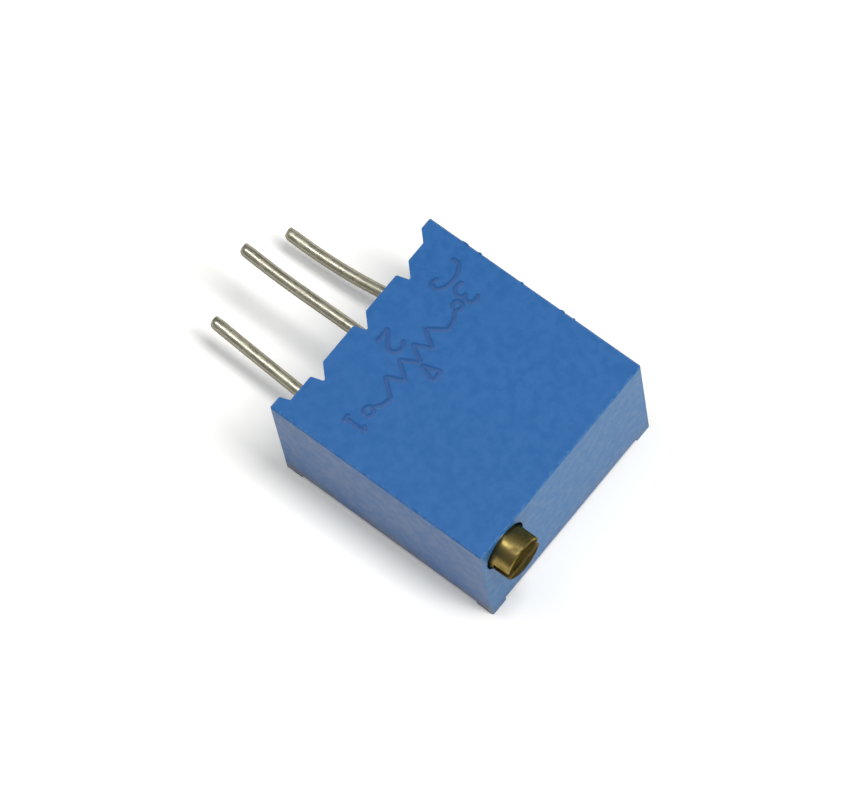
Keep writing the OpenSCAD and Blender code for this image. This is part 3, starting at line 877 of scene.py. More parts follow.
@dataclass
class PathSweep:
    """A Geometry Nodes tree that sweeps one cross-section along the edges of a carrier mesh.

    The carrier's point attribute "thickness" scales the section along the path.
    """

    section: Section
    tree: Tree = field(init=False)
    sockets: dict[str, str] = field(init=False, default_factory=dict)

    def __post_init__(self) -> None:
        """Builds the tree."""
        self.tree = bpy.data.node_groups.new(f"sweep_{self.section.value}", "GeometryNodeTree")
        sizes = {"Width": "Float", "Height": "Float", "Tip Width": "Float", "Sides": "Int"}
        for label, kind in {"Geometry": "Geometry", **sizes, "Finish": "Material"}.items():
            socket = self.tree.interface.new_socket(
                name=label, in_out="INPUT", socket_type=f"NodeSocket{kind}"
            )
            self.sockets[label] = socket.identifier
        self.tree.interface.new_socket(
            name="Geometry", in_out="OUTPUT", socket_type="NodeSocketGeometry"
        )
        sheet = NodeSheet(self.tree)
        given = sheet.named("NodeGroupInput")
        path = sheet.add("GeometryNodeMeshToCurve", {"Mesh": given["Geometry"]}).outputs["Curve"]
        if self.section is not Section.ROUND:
            path = sheet.add("GeometryNodeSetCurveNormal", {0: path}, mode="Z_UP").outputs[0]
        profile = {
            Section.ROUND: self._round,
            Section.SOFT_RIB: self._soft_rib,
            Section.RIDGE: self._ridge,
        }[self.section](sheet, given)
        attribute = {"Name": "thickness"}
        thickness = sheet.add("GeometryNodeInputNamedAttribute", attribute, data_type="FLOAT")
        sweep = {
            "Curve": path,
            "Profile Curve": profile,
            "Scale": thickness.outputs["Attribute"],
            "Fill Caps": True,
        }
        soft = {"Shade Smooth": self.section is not Section.RIDGE}
        result = sheet.add("GeometryNodeCurveToMesh", sweep).outputs[0]
        result = sheet.add("GeometryNodeSetShadeSmooth", {"Geometry": result, **soft}).outputs[0]
        result = sheet.add("GeometryNodeRealizeInstances", {"Geometry": result}).outputs[0]
        coat = {"Geometry": result, "Material": given["Finish"]}
        result = sheet.add("GeometryNodeSetMaterial", coat).outputs[0]
        sheet.add("NodeGroupOutput", {"Geometry": result})

    @staticmethod
    def _round(sheet: NodeSheet, given: Sockets) -> Socket:
        """A circle whose radius is half the width."""
        size = {"Resolution": given["Sides"], "Radius": sheet.times(given["Width"], 0.5)}
        return sheet.add("GeometryNodeCurvePrimitiveCircle", size).outputs["Curve"]

    @staticmethod
    def _soft_rib(sheet: NodeSheet, given: Sockets) -> Socket:
        """A low rib that swells softly out of the face, with a flat foot sunk under it.

        Args:
            sheet: the tree's sheet.
            given: the tree's inputs.

        Returns:
            The profile.
        """
        size = {"Resolution": given["Sides"], "Radius": 1.0}
        circle = sheet.add("GeometryNodeCurvePrimitiveCircle", size).outputs["Curve"]
        across, up, _ = sheet.parts(sheet.add("GeometryNodeInputPosition").outputs[0])
        wave = sheet.maths("COSINE", sheet.times(across, math.pi))
        swell = sheet.times(sheet.maths("MULTIPLY_ADD", wave, 0.5, 0.5), given["Height"])
        above = sheet.maths("GREATER_THAN", up, -0.01)
        sunk = sheet.times(sheet.maths("SUBTRACT", above, 1.0), 0.02)
        level = sheet.maths("ADD", sheet.times(swell, above), sunk)
        place = sheet.flat(sheet.times(across, given["Width"], 0.5), sheet.times(level, -1.0))
        moved = {"Geometry": circle, "Position": place}
        return sheet.add("GeometryNodeSetPosition", moved).outputs[0]

    @staticmethod
    def _ridge(sheet: NodeSheet, given: Sockets) -> Socket:
        """A tapered ridge that stands out along the section's own X.

        Args:
            sheet: the tree's sheet.
            given: the tree's inputs.

        Returns:
            The profile.
        """
        size = {"Bottom Width": given["Width"], "Top Width": given["Tip Width"]}
        size |= {"Offset": 0.0, "Height": given["Height"]}
        shape = sheet.add("GeometryNodeCurvePrimitiveQuadrilateral", size, mode="TRAPEZOID")
        upright = {"Geometry": shape.outputs[0], "Rotation": (0.0, 0.0, math.pi / 2)}
        return sheet.add("GeometryNodeTransform", upright).outputs[0]

    def along(
        self,
        name: str,
        paths: Sequence[Sequence[Point]],
        shares: Sequence[Sequence[float]],
        sizes: dict[str, float],
        finish: Material,
    ) -> Thing:
        """Sweeps the section along one or more paths and makes the result a plain mesh.

        Args:
            name: the piece's name.
            paths: each path's points, in millimetres.
            shares: each point's share of the full section.
            sizes: the tree's inputs that the section needs, by name.
            finish: the material that the tree sets.

        Returns:
            The swept object, still in millimetres.
        """
        points: list[Point] = []
        edges: list[tuple[int, int]] = []
        for path in paths:
            edges.extend((k, k + 1) for k in range(len(points), len(points) + len(path) - 1))
            points.extend(path)
        carrier = mesh_object(name, points, [], edges)
        thickness = carrier.data.attributes.new("thickness", "FLOAT", "POINT")
        thickness.data.foreach_set("value", [share for part in shares for share in part])
        modifier = carrier.modifiers.new("sweep", "NODES")
        modifier.node_group = self.tree
        for label, value in {**sizes, "Finish": finish}.items():
            modifier[self.sockets[label]] = value
        return baked(carrier)


# ---------------------------------------------------------------- the part's own pieces


@dataclass
class MouldedHousing:
    """The moulded shell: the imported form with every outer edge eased, as a mould leaves it."""

    ease: float = 0.022
    weld: float = 0.0006
    flat: float = 1.2
    sharp: float = 24.0
    soft: float = 50.0
    wall_band: float = 0.075
    notch_band: float = 1.0
    foot_band: float = 0.26

    def build(self, finish: Material) -> Thing:
        """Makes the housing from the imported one, with the large faces setting the normals.

        Args:
            finish: the moulded blue.

        Returns:
            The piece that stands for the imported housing.
        """
        low, high = (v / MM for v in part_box("housing"))
        mesh = bpy.data.meshes.new("housing_shell")
        with editing(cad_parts["housing"].data, mesh) as work:
            bmesh.ops.scale(work, vec=(1 / MM,) * 3, verts=work.verts)
            bmesh.ops.remove_doubles(work, verts=work.verts, dist=self.weld)
            bmesh.ops.dissolve_limit(
                work, angle_limit=math.radians(self.flat), verts=work.verts, edges=work.edges
            )
            bmesh.ops.recalc_face_normals(work, faces=work.faces)
            bmesh.ops.bevel(
                work,
                geom=[e for e in work.edges if self._is_sharp(e) and self._is_outer(e, low, high)],
                offset=self.ease,
                offset_type="OFFSET",
                segments=2,
                profile=0.5,
                affect="EDGES",
                clamp_overlap=True,
            )
            bmesh.ops.triangulate(work, faces=[face for face in work.faces if len(face.verts) > 4])
        shell = smooth(placed("housing_shell", mesh), self.soft)
        even = shell.modifiers.new("face_weighted", "WEIGHTED_NORMAL")
        even.keep_sharp, even.weight = True, 80
        dress(baked(shell), finish, Body.CASE)
        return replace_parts(shell, "housing")

    def _is_sharp(self, edge: bmesh.types.BMEdge) -> bool:
        """Whether an edge turns enough to be eased."""
        return len(edge.link_faces) == 2 and edge.calc_face_angle(0.0) > math.radians(self.sharp)

    def _is_outer(self, edge: bmesh.types.BMEdge, low: Vector, high: Vector) -> bool:
        """Whether an edge is on the outside of the housing, in its notches or on its feet.

        Args:
            edge: an edge of the housing, in millimetres.
            low: the housing's lower corner.
            high: its upper corner.

        Returns:
            Whether both the edge's ends are.
        """
        return all(
            min(p.x - low.x, high.x - p.x, p.y - low.y, high.z - p.z) < self.wall_band
            or p.y > high.y - self.notch_band
            or p.z < low.z + self.foot_band
            for p in (vert.co for vert in edge.verts)
        )


@dataclass
class FaceMarks:
    """The shallow raised marks of the marked face: the resistor's zigzag sign and its numbers."""

    face_z: float
    width: float = 0.25
    height: float = 0.012
    number_size: float = 0.92
    step: float = 0.04
    rounding: int = 2
    sides: int = 20
    end_share: float = 0.4
    share_step: float = 0.3

    def strokes(self) -> list[list[FlatPoint]]:
        """The marks' lines on the face, in X and Y.

        They are laid out the way they are read, with the terminals below, and then turned round.

        Returns:
            The lines.
        """
        near, far = -1.62, -2.32
        bends = (-1.64, -1.14, -0.7, -0.37, 0.0, 0.41, 0.91, 1.24, 1.8)
        zigzag = [(-2.4, -1.95), (-2.1, -1.72)]
        zigzag += [(u, (near, far)[k % 2]) for k, u in enumerate(bends)]
        zigzag += [(2.15, -1.68), (2.5, -1.95)]
        bow = self._ring((-3.3, -3.12), 0.68, 0.4, 210, -30)
        u, v = bow[-1]
        lines = [
            zigzag,
            self._ring((-2.59, -1.95), 0.19, 0.19),
            self._ring((2.69, -1.95), 0.19, 0.19),
            [(0.33, -0.8), (0.08, -1.52), (-0.17, -0.8), (0.33, -0.8)],
            bow,
            [(u - 0.34, v + 0.12), (u, v), (u + 0.12, v + 0.36)],
            *self._number("1", (3.36, -2.0)),
            *self._number("2", (0.0, -3.0)),
            *self._number("3", (-3.2, -2.0)),
        ]
        return [[(-u, -v) for u, v in line] for line in lines]

    @staticmethod
    def _ring(
        centre: FlatPoint, wide: float, tall: float, first: int = 0, last: int = 360
    ) -> list[FlatPoint]:
        """Part of an ellipse.

        Args:
            centre: its centre.
            wide: half its width.
            tall: half its height.
            first: the angle where it starts, in degrees.
            last: the angle where it ends.

        Returns:
            Its points, 15 degrees apart.
        """
        way = 1 if last > first else -1
        turns = [math.radians(angle) for angle in range(first, last + way, 15 * way)]
        return [(centre[0] + wide * math.cos(a), centre[1] + tall * math.sin(a)) for a in turns]

    def _number(self, digit: str, centre: FlatPoint) -> list[list[FlatPoint]]:
        """One numeral's lines.

        Args:
            digit: the numeral.
            centre: its middle.

        Returns:
            The lines.
        """
        shapes = {
            "1": [[(-0.2, 0.26), (0.04, 0.5), (0.04, -0.5)], [(-0.2, -0.5), (0.28, -0.5)]],
            "2": [self._ring((0.0, 0.18), 0.34, 0.32, 165, -30) + [(-0.36, -0.5), (0.4, -0.5)]],
            "3": [
                self._ring((0.0, 0.24), 0.27, 0.26, 150, -90),
                self._ring((0.0, -0.23), 0.32, 0.28, 90, -150),
            ],
        }
        (x, y), size = centre, self.number_size
        return [[(x + size * u, y + size * v) for u, v in part] for part in shapes[digit]]

    def _softened(self, line: Sequence[FlatPoint]) -> list[FlatPoint]:
        """Rounds a line's corners and puts points on it at an even step.

        Args:
            line: the line's corners.

        Returns:
            Its points.
        """
        dense: list[np.ndarray] = []
        for a, b in zip(line, line[1:]):
            a, b = np.array(a), np.array(b)
            count = max(1, int(round(float(np.linalg.norm(b - a)) / self.step)))
            dense.extend(a + (b - a) * k / count for k in range(count))
        path = np.array([*dense, np.array(line[-1], float)])
        for _ in range(self.rounding):
            path[1:-1] = (path[:-2] + 2 * path[1:-1] + path[2:]) / 4
        return [(float(x), float(y)) for x, y in path]

    def build(self, sweep: PathSweep, finish: Material) -> Thing:
        """Sweeps all the marks and seats them on the face.

        Args:
            sweep: the soft rib's tree.
            finish: the housing's material.

        Returns:
            The raised marks, one piece.
        """
        flat = [self._softened(line) for line in self.strokes()]
        paths = [[(x, y, self.face_z) for x, y in line] for line in flat]
        to_ends = [[min(k, len(line) - 1 - k) for k in range(len(line))] for line in flat]
        shares = [
            [min(1.0, self.end_share + self.share_step * steps) for steps in line]
            for line in to_ends
        ]
        sizes = {"Width": self.width, "Height": self.height, "Sides": self.sides}
        marks = outward(sweep.along("face_marks", paths, shares, sizes, finish))
        return dress(marks, finish, Body.CASE)


@dataclass
class EdgeFlash:
    """Tiny nubs of flash left along the mould's parting line at the marked face.

    Each spot is its middle along Y and its length, and form is places along a nub with its swell.
    """

    side_x: float
    top_z: float
    depth: float = 0.032
    sides: int = 12
    soft: float = 50.0
    spots: Sequence[FlatPoint] = ((3.3, 0.3), (2.6, 0.16), (0.6, 0.14), (-1.32, 0.2), (-1.85, 0.12))
    form: Sequence[FlatPoint] = ((0.0, 0.15), (0.2, 0.8), (0.45, 1.0), (0.7, 0.65), (1.0, 0.15))

    def build(self, sweep: PathSweep, finish: Material) -> Thing:
        """Sweeps the nubs, each sunk in the edge.

        Args:
            sweep: the round section's tree.
            finish: the housing's material.

        Returns:
            The nubs, one piece.
        """
        level = self.top_z - self.depth
        paths = [
            [(self.side_x, middle + length * (t - 0.5), level) for t, _ in self.form]
            for middle, length in self.spots
        ]
        shares = [[swell for _, swell in self.form]] * len(paths)
        sizes = {"Width": 2 * self.depth, "Sides": self.sides}
        nubs = outward(sweep.along("edge_flash", paths, shares, sizes, finish))
        return dress(smooth(nubs, self.soft), finish, Body.CASE)


@dataclass
class AdjustmentScrew:
    """The brass screw: turned blank with grooves, slotted head and the worm's ridge, along Y."""

    sides: int = 112
    rim: float = 0.05
    ease: float = 0.02
    slot_width: float = 0.5
    slot_depth: float = 0.7
    slot_flare: float = 0.025
    slot_round: float = 0.03
    head_r: float = 0.93
    y_recess: float = -4.615
    running: float = 0.02
    y_bearing: float = -2.865
    shank_past: float = 0.25
    seal_y: float = -4.015
    seal_groove_w: float = 0.35
    seal_cord: float = 0.255
    clip_y: float = -3.315
    clip_t: float = 0.2
    clip_play: float = 0.03
    clip_groove_r: float = 0.47
    wheel_r: float = 2.935
    wheel_y: float = -0.8202
    teeth: int = 30
    pitch_r: float = 0.56
    addendum: float = 0.97
    dedendum: float = 1.1
    pressure_angle: float = 20.0
    backlash: float = 0.05
    worm_len: float = 2.5
    worm_sunk: float = 0.04
    facets: int = 48
    tail_r: float = 0.5
    tail_chamfer: float = 0.15
    weld: float = 0.0004
    soft: float = 32.0
    pitch: float = field(init=False)
    tip_r: float = field(init=False)
    root_r: float = field(init=False)
    shank_r: float = field(init=False)
    x: float = field(init=False)
    z: float = field(init=False)
    y_head: float = field(init=False)
    y_end: float = field(init=False)

    def __post_init__(self) -> None:
        """Works out the worm's proportions from the wheel's, and the screw's place."""
        module = 2 * self.wheel_r / self.teeth
        self.pitch = math.pi * module
        self.tip_r = self.pitch_r + self.addendum * module
        self.root_r = self.pitch_r - self.dedendum * module
        self.shank_r = self.tip_r + self.running
        low, high = (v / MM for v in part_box("adjustment_screw"))
        self.x, self.z = (low.x + high.x) / 2, (low.z + high.z) / 2
        self.y_head, self.y_end = low.y, high.y

    def _groove(self, radius: float, first: float, last: float) -> list[FlatPoint]:
        """A square groove in the shank, from one place along Y to another."""
        return [(self.shank_r, first), (radius, first), (radius, last), (self.shank_r, last)]

    def profile(self) -> list[FlatPoint]:
        """The blank's profile.

        Returns:
            The points' radius and place along Y.
        """
        y_under = self.y_recess - self.running
        y_thread = self.y_bearing + self.shank_past
        y_tail = self.wheel_y + self.worm_len / 2
        seal_r = self.shank_r - self.seal_cord - self.running
        clip = self.clip_y - self.clip_play, self.clip_y + self.clip_t + self.clip_play
        return [
            (0.0, self.y_head),
            (self.head_r - self.rim, self.y_head),
            (self.head_r, self.y_head + self.rim),
            (self.head_r, y_under),
            (self.shank_r, y_under),
            *self._groove(seal_r, self.seal_y, self.seal_y + self.seal_groove_w),
            *self._groove(self.clip_groove_r, *clip),
            (self.shank_r, y_thread),
            (self.root_r, y_thread),
            (self.root_r, y_tail),
            (self.tail_r, y_tail + self.tail_r - self.root_r),
            (self.tail_r, self.y_end - self.tail_chamfer),
            (self.tail_r - self.tail_chamfer, self.y_end),
            (0.0, self.y_end),
        ]

    def _blank(self) -> Thing:
        """The turned blank with its slot cut, on its own axis along Z.

        Returns:
            The blank.
        """
        blank = turned("screw_blank", eased(self.profile(), self.ease), self.sides)
        half, top, past, reach = self.slot_width / 2, self.y_head, 0.2, 1.3
        floor = top + self.slot_depth
        section = [(-half - self.slot_flare - past, top - past), (-half, top + self.slot_flare)]
        section += [(-half, floor - self.slot_round), (-half + self.slot_round, floor)]
        section += [(-across, y) for across, y in reversed(section)]
        n = len(section)
        points = [(x, across, y) for x in (-reach, reach) for across, y in section]
        faces = [tuple(range(n)), tuple(range(2 * n - 1, n - 1, -1))]
        faces += [(k, (k + 1) % n, n + (k + 1) % n, n + k) for k in range(n)]
        cutter = outward(mesh_object("slot_cutter", points, faces))
        cut = blank.modifiers.new("slot", "BOOLEAN")
        cut.object, cut.operation, cut.solver = cutter, "DIFFERENCE", "EXACT"
        baked(blank)
        bpy.data.objects.remove(cutter)
        return blank

    def _half_width(self, radius: float) -> float:
        """Half the ridge's width along the axis at a radius."""
        slope = math.tan(math.radians(self.pressure_angle))
        return self.pitch / 4 - self.backlash / 4 - (radius - self.pitch_r) * slope

    def _ridge(self, sweep: PathSweep, finish: Material) -> Thing:
        """The worm's ridge, on the same axis, with a gap towards the wheel's middle tooth.

        Args:
            sweep: the ridge's tree.
            finish: the brass.

        Returns:
            The ridge.
        """
        base_r = self.root_r - self.worm_sunk
        height = self.tip_r - base_r
        steps = int((self.worm_len - 2 * self._half_width(base_r)) / self.pitch * self.facets)
        fade = self.facets // 4
        path, shares = [], []
        for k in range(steps + 1):
            turn = (k - steps / 2) / self.facets
            angle = math.pi + turn * 2 * math.pi
            shares.append(min(1.0, (k + 1) / fade, (steps - k + 1) / fade))
            radius = base_r + height / 2 * shares[-1]
            y = self.wheel_y + turn * self.pitch
            path.append((radius * math.cos(angle), radius * math.sin(angle), y))
        wide, narrow = 2 * self._half_width(base_r), 2 * self._half_width(self.tip_r)
        sizes = {"Width": wide, "Height": height, "Tip Width": narrow}
        return sweep.along("worm_ridge", [path], [shares], sizes, finish)

    def build(self, sweep: PathSweep, finish: Material) -> Thing:
        """Makes the whole screw.

        Args:
            sweep: the ridge's tree.
            finish: the brass.

        Returns:
            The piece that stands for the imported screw.
        """
        blank, ridge = self._blank(), self._ridge(sweep, finish)
        mesh = bpy.data.meshes.new("brass_screw")
        with editing(blank.data, mesh) as work:
            work.from_mesh(ridge.data)
            bmesh.ops.remove_doubles(work, verts=work.verts, dist=self.weld)
            bmesh.ops.recalc_face_normals(work, faces=work.faces)
        for thing in (blank, ridge):
            bpy.data.objects.remove(thing)
        along_y = Matrix.Rotation(-math.pi / 2, 4, "X")
        mesh.transform(Matrix.Translation((self.x, 0.0, self.z)) @ along_y)
        screw = smooth(placed("brass_screw", mesh), self.soft)
        dress(screw, finish, Body.SCREW)
        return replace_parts(screw, "adjustment_screw")


@dataclass
class TerminalWire:
    """One tinned wire: the leg to the plate, the straight run, the kink, the sweep, the cut end.

    The cut lists places along the tip, each with a shift aside and a share of the thickness.
    """

    number: int
    x: float
    z: float
    kink: float
    kink_run: float
    sweep_up: float
    trim: float
    radius: float = 0.255
    y_seat: float = 5.015
    straight: float = 0.45
    reach: float = 5.4
    bend_r: float = 0.4
    y_leg: float = 3.125
    leg_foot: float = 0.16
    bend_plane: float = 60.0
    kink_r: float = 3.0
    end_run: float = 0.4
    cut_run: float = 0.2
    foot_cap: float = 0.03
    foot_share: float = 0.88
    waver: float = 0.006
    sides: int = 40
    soft: float = 40.0
    cut: Sequence[Point] = (
        (0.04, 0.0, 0.99),
        (0.09, 0.04, 0.95),
        (0.135, 0.1, 0.89),
        (0.175, 0.16, 0.82),
        (0.21, 0.19, 0.77),
        (0.24, 0.19, 0.74),
    )

    @staticmethod
    def _follow(
        start: np.ndarray, ahead: np.ndarray, side: np.ndarray, steps: Sequence[Point]
    ) -> list[np.ndarray]:
        """Follows straight runs and bends in one plane.

        Args:
            start: the first point.
            ahead: the first direction.
            side: the direction that a positive bend turns towards.
            steps: each run's length, and the angle in degrees and the radius of the bend after it.

        Returns:
            The path's points.
        """
        spacing, longest, widest = 0.12, 0.2, math.radians(9)
        path = [start]
        for run, angle, radius in steps:
            here, pieces = path[-1], max(1, int(run / longest))
            if run > 0:
                path.extend(here + ahead * run * k / pieces for k in range(1, pieces + 1))
            if angle == 0:
                continue
            here, turn = path[-1], math.radians(angle)
            out = -side * math.copysign(1, turn)
            centre = here - out * radius
            count = max(3, int(abs(turn) * radius / spacing), int(abs(turn) / widest))
            for a in (abs(turn) * k / count for k in range(1, count + 1)):
                path.append(centre + radius * (out * math.cos(a) + ahead * math.sin(a)))
            cos, sin = math.cos(turn), math.sin(turn)
            ahead, side = ahead * cos + side * sin, side * cos - ahead * sin
        return path

    def path(self) -> tuple[list[Point], list[float]]:
        """The wire's line from its inner end to its tip.

        Returns:
            Its points, and each point's share of the full thickness.
        """
        low, high = (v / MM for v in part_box("substrate"))
        up = self.z < low.z
        start = np.array([self.x, self.y_seat + self.straight, self.z])
        to_plate = high.z - self.z if up else self.z - low.z
        run = self.y_seat + self.straight - self.y_leg - self.bend_r
        bends = [(run, 90.0, self.bend_r), (to_plate + self.leg_foot - self.bend_r, 0.0, 1.0)]
        side = np.array([0.0, 0.0, 1.0 if up else -1.0])
        inner = self._follow(start, np.array([0.0, -1.0, 0.0]), side, bends)
        kink_len = self.kink_r * abs(math.radians(self.kink))
        swept = self.reach + self.trim - self.straight - self.kink_run - self.end_run - kink_len
        bends = [
            (0.0, self.kink, self.kink_r),
            (self.kink_run, self.sweep_up, swept / math.radians(self.sweep_up)),
            (self.end_run - self.cut_run, 0.0, 1.0),
        ]
        slant = math.radians(self.bend_plane)
        side = np.array([math.cos(slant), 0.0, math.sin(slant)])
        outer = self._follow(start, np.array([0.0, 1.0, 0.0]), side, bends)
        ahead = unit(outer[-1] - outer[-2])
        aside = np.cross(ahead, (0.0, 0.0, 1.0)) * self.radius
        tip = [outer[-1] + ahead * along + aside * shift for along, shift, _ in self.cut]
        foot = inner[-1] - unit(inner[-1] - inner[-2]) * self.foot_cap
        line = [inner[-1], foot, *reversed(inner[:-1]), *outer[1:], *tip]
        shares = [1.0 + self.waver * math.sin(2.1 * k + self.number) for k in range(len(line))]
        shares[0] = self.foot_share
        shares[-len(tip):] = [share for *_, share in self.cut]
        return [tuple(float(c) for c in point) for point in line], shares

    def build(self, sweep: PathSweep, finish: Material) -> Thing:
        """Sweeps the wire.

        Args:
            sweep: the round section's tree.
            finish: the dipped tin.

        Returns:
            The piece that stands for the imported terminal.
        """
        line, shares = self.path()
        sizes = {"Width": 2 * self.radius, "Sides": self.sides}
        wire = sweep.along(f"wire_{self.number}", [line], [shares], sizes, finish)
        dress(smooth(outward(wire), self.soft), finish, Body.CASE)
        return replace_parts(wire, f"terminal_{self.number}")


@dataclass
class ResinPool:
    """The skin of the cast resin in the back: it creeps up the walls and is a little uneven."""

    creep: float = 0.055
    creep_run: float = 0.28
    falls: float = 3.0
    swell: float = 0.012
    ripple: float = 0.004
    thickness: float = 0.012
    grid: float = 0.14
    gap: float = 0.002
    soft: float = 40.0
    slot_half: float = 0.39
    y_notch: float = 4.065
    notch_depth: float = 0.43
    columns: Sequence[float] = (-PIN_GRID, 0.0, PIN_GRID)
    low: Vector = field(init=False)
    high: Vector = field(init=False)
    y_wall: float = field(init=False)

    def __post_init__(self) -> None:
        """Reads the pool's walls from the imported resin."""
        self.low, self.high = (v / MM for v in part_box("potting"))
        self.y_wall = self.y_notch - self.notch_depth

    def _lines(self, low: float, high: float, stops: Sequence[float]) -> list[float]:
        """Grid lines between two walls, closer together at the walls and through all the stops.

        Args:
            low: the first wall.
            high: the second wall.
            stops: places that need a line.

        Returns:
            The lines' places.
        """
        edges = sorted({low, high, *[s for s in stops if low < s < high]})
        lines: list[float] = []
        for a, b in zip(edges, edges[1:]):
            count = max(6, int((b - a) / self.grid))
            shares = (0.5 - 0.5 * math.cos(math.pi * k / count) for k in range(count))
            lines.extend(a + (b - a) * share for share in shares)
        return [*lines, high]

    def _inside(self, x: float, y: float) -> bool:
        """Whether a place is in the pool or in one of its slots."""
        return y < self.y_wall or any(abs(x - c) < self.slot_half for c in self.columns)

    def _level(self, x: float, y: float) -> float:
        """The skin's height at a place.

        Args:
            x: the place across the part.
            y: the place along it.

        Returns:
            The height, lower near a wall because the pool is upside down.
        """
        hair = 1e-6
        to_sides = [self.slot_half - abs(x - c) for c in self.columns]
        gaps = [x - self.low.x, self.high.x - x, y - self.low.y]
        if y >= self.y_wall - hair:
            gaps = [max(to_sides)]
        elif max(to_sides) <= hair:
            gaps.append(self.y_wall - y)
        rise = self.creep * math.exp(-max(0.0, min(gaps)) / self.creep_run * self.falls)
        wave = self.swell * math.sin(1.3 * x + 0.6) * math.cos(0.9 * y - 0.4)
        wave += self.ripple * math.sin(3.7 * x + 2.9 * y)
        return self.low.z - self.thickness - rise - 0.5 * (wave + self.swell + self.ripple)

    def build(self, finish: Material) -> Thing:
        """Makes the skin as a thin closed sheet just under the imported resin.

        Args:
            finish: the cast resin.

        Returns:
            The skin.
        """
        stops = [c + side * self.slot_half for c in self.columns for side in (-1, 1)]
        xs = self._lines(self.low.x, self.high.x, stops)
        ys = self._lines(self.low.y, self.y_notch - self.gap, [self.y_wall])
        middles = [[(a + b) / 2 for a, b in zip(line, line[1:])] for line in (xs, ys)]
        cells = [
            (i, j)
            for i, x in enumerate(middles[0])
            for j, y in enumerate(middles[1])
            if self._inside(x, y)
        ]
        filled = set(cells)
        shells: list[list[tuple[int, int, int]]] = []
        for i, j in cells:
            ring = a, b, c, d = (i, j), (i, j + 1), (i + 1, j + 1), (i + 1, j)
            shells += [[(*corner, 0) for corner in ring], [(*corner, 1) for corner in (a, d, c, b)]]
            walls = {(i - 1, j): (a, b), (i + 1, j): (d, c), (i, j - 1): (a, d), (i, j + 1): (b, c)}
            for beside, (p, q) in walls.items():
                if beside not in filled:
                    shells.append([(*p, 0), (*q, 0), (*q, 1), (*p, 1)])
        number: dict[tuple[int, int, int], int] = {}
        faces = [[number.setdefault(corner, len(number)) for corner in shell] for shell in shells]
        back = self.low.z + self.thickness
        points = [
            (xs[i], ys[j], back if behind else self._level(xs[i], ys[j])) for i, j, behind in number
        ]
        skin = smooth(outward(mesh_object("resin_skin", points, faces)), self.soft)
        return dress(skin, finish, Body.CASE)


@dataclass
class InnerPieces:
    """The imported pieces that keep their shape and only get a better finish."""

    effects: Effects

    def finishes(self) -> list[tuple[Finish, tuple[str, ...]]]:
        """Each finish and the nodes that take it.

        Returns:
            The pairs.
        """
        nylon = {"variation": 0.06, "depth": 0.006}
        alumina = {"variation": 0.05, "fine": 24000.0, "depth": 0.005}
        silver = {"metallic": 0.8, "variation": 0.12, "fine": 26000.0}
        bronze, alloy = ({"metallic": 1.0, "variation": share} for share in (0.2, 0.1))
        solder = {"metallic": 1.0, "coarse": 2600.0, "depth": 0.01}
        cermet = {"variation": 0.3, "fine": 30000.0}
        return [
            (
                InnerStuff("seal_rubber", (0.05, 0.02, 0.015), 0.5, variation=0.2),
                ("screw_seal",),
            ),
            (
                InnerStuff("phosphor_bronze", (0.55, 0.32, 0.14), 0.3, **bronze),
                ("screw_clip", "wiper_spring"),
            ),
            (
                InnerStuff("moulded_nylon", (0.72, 0.69, 0.6), 0.42, **nylon),
                ("worm_wheel",),
            ),
            (
                InnerStuff("precious_alloy", (0.8, 0.66, 0.42), 0.25, **alloy),
                ("track_brush", "collector_brush"),
            ),
            (
                InnerStuff("fired_alumina", (0.82, 0.8, 0.74), 0.55, **alumina),
                ("substrate",),
            ),
            (
                InnerStuff("cermet_film", (0.02, 0.019, 0.018), 0.4, **cermet),
                ("resistive_track",),
            ),
            (
                InnerStuff("silver_film", (0.62, 0.6, 0.55), 0.45, **silver),
                ("collector_track", "end_pad_1", "end_pad_3"),
            ),
            (
                InnerStuff("tin_solder", (0.55, 0.55, 0.54), 0.28, **solder),
                ("solder_1", "solder_2", "solder_3"),
            ),
        ]

    def build(self) -> list[Thing]:
        """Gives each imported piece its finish.

        Returns:
            The pieces.
        """
        done = []
        for finish, names in self.finishes():
            material = finish.build(self.effects)
            done += [self.coat(name, material) for name in names]
        return done

    @staticmethod
    def coat(name: str, material: Material) -> Thing:
        """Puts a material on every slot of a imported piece.

        Args:
            name: the piece's node.
            material: its material.

        Returns:
            The piece.
        """
        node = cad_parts[name]
        for slot in node.material_slots:
            slot.material = material
        if not node.material_slots:
            node.data.materials.append(material)
        return node


# ---------------------------------------------------------------- floor, light and camera


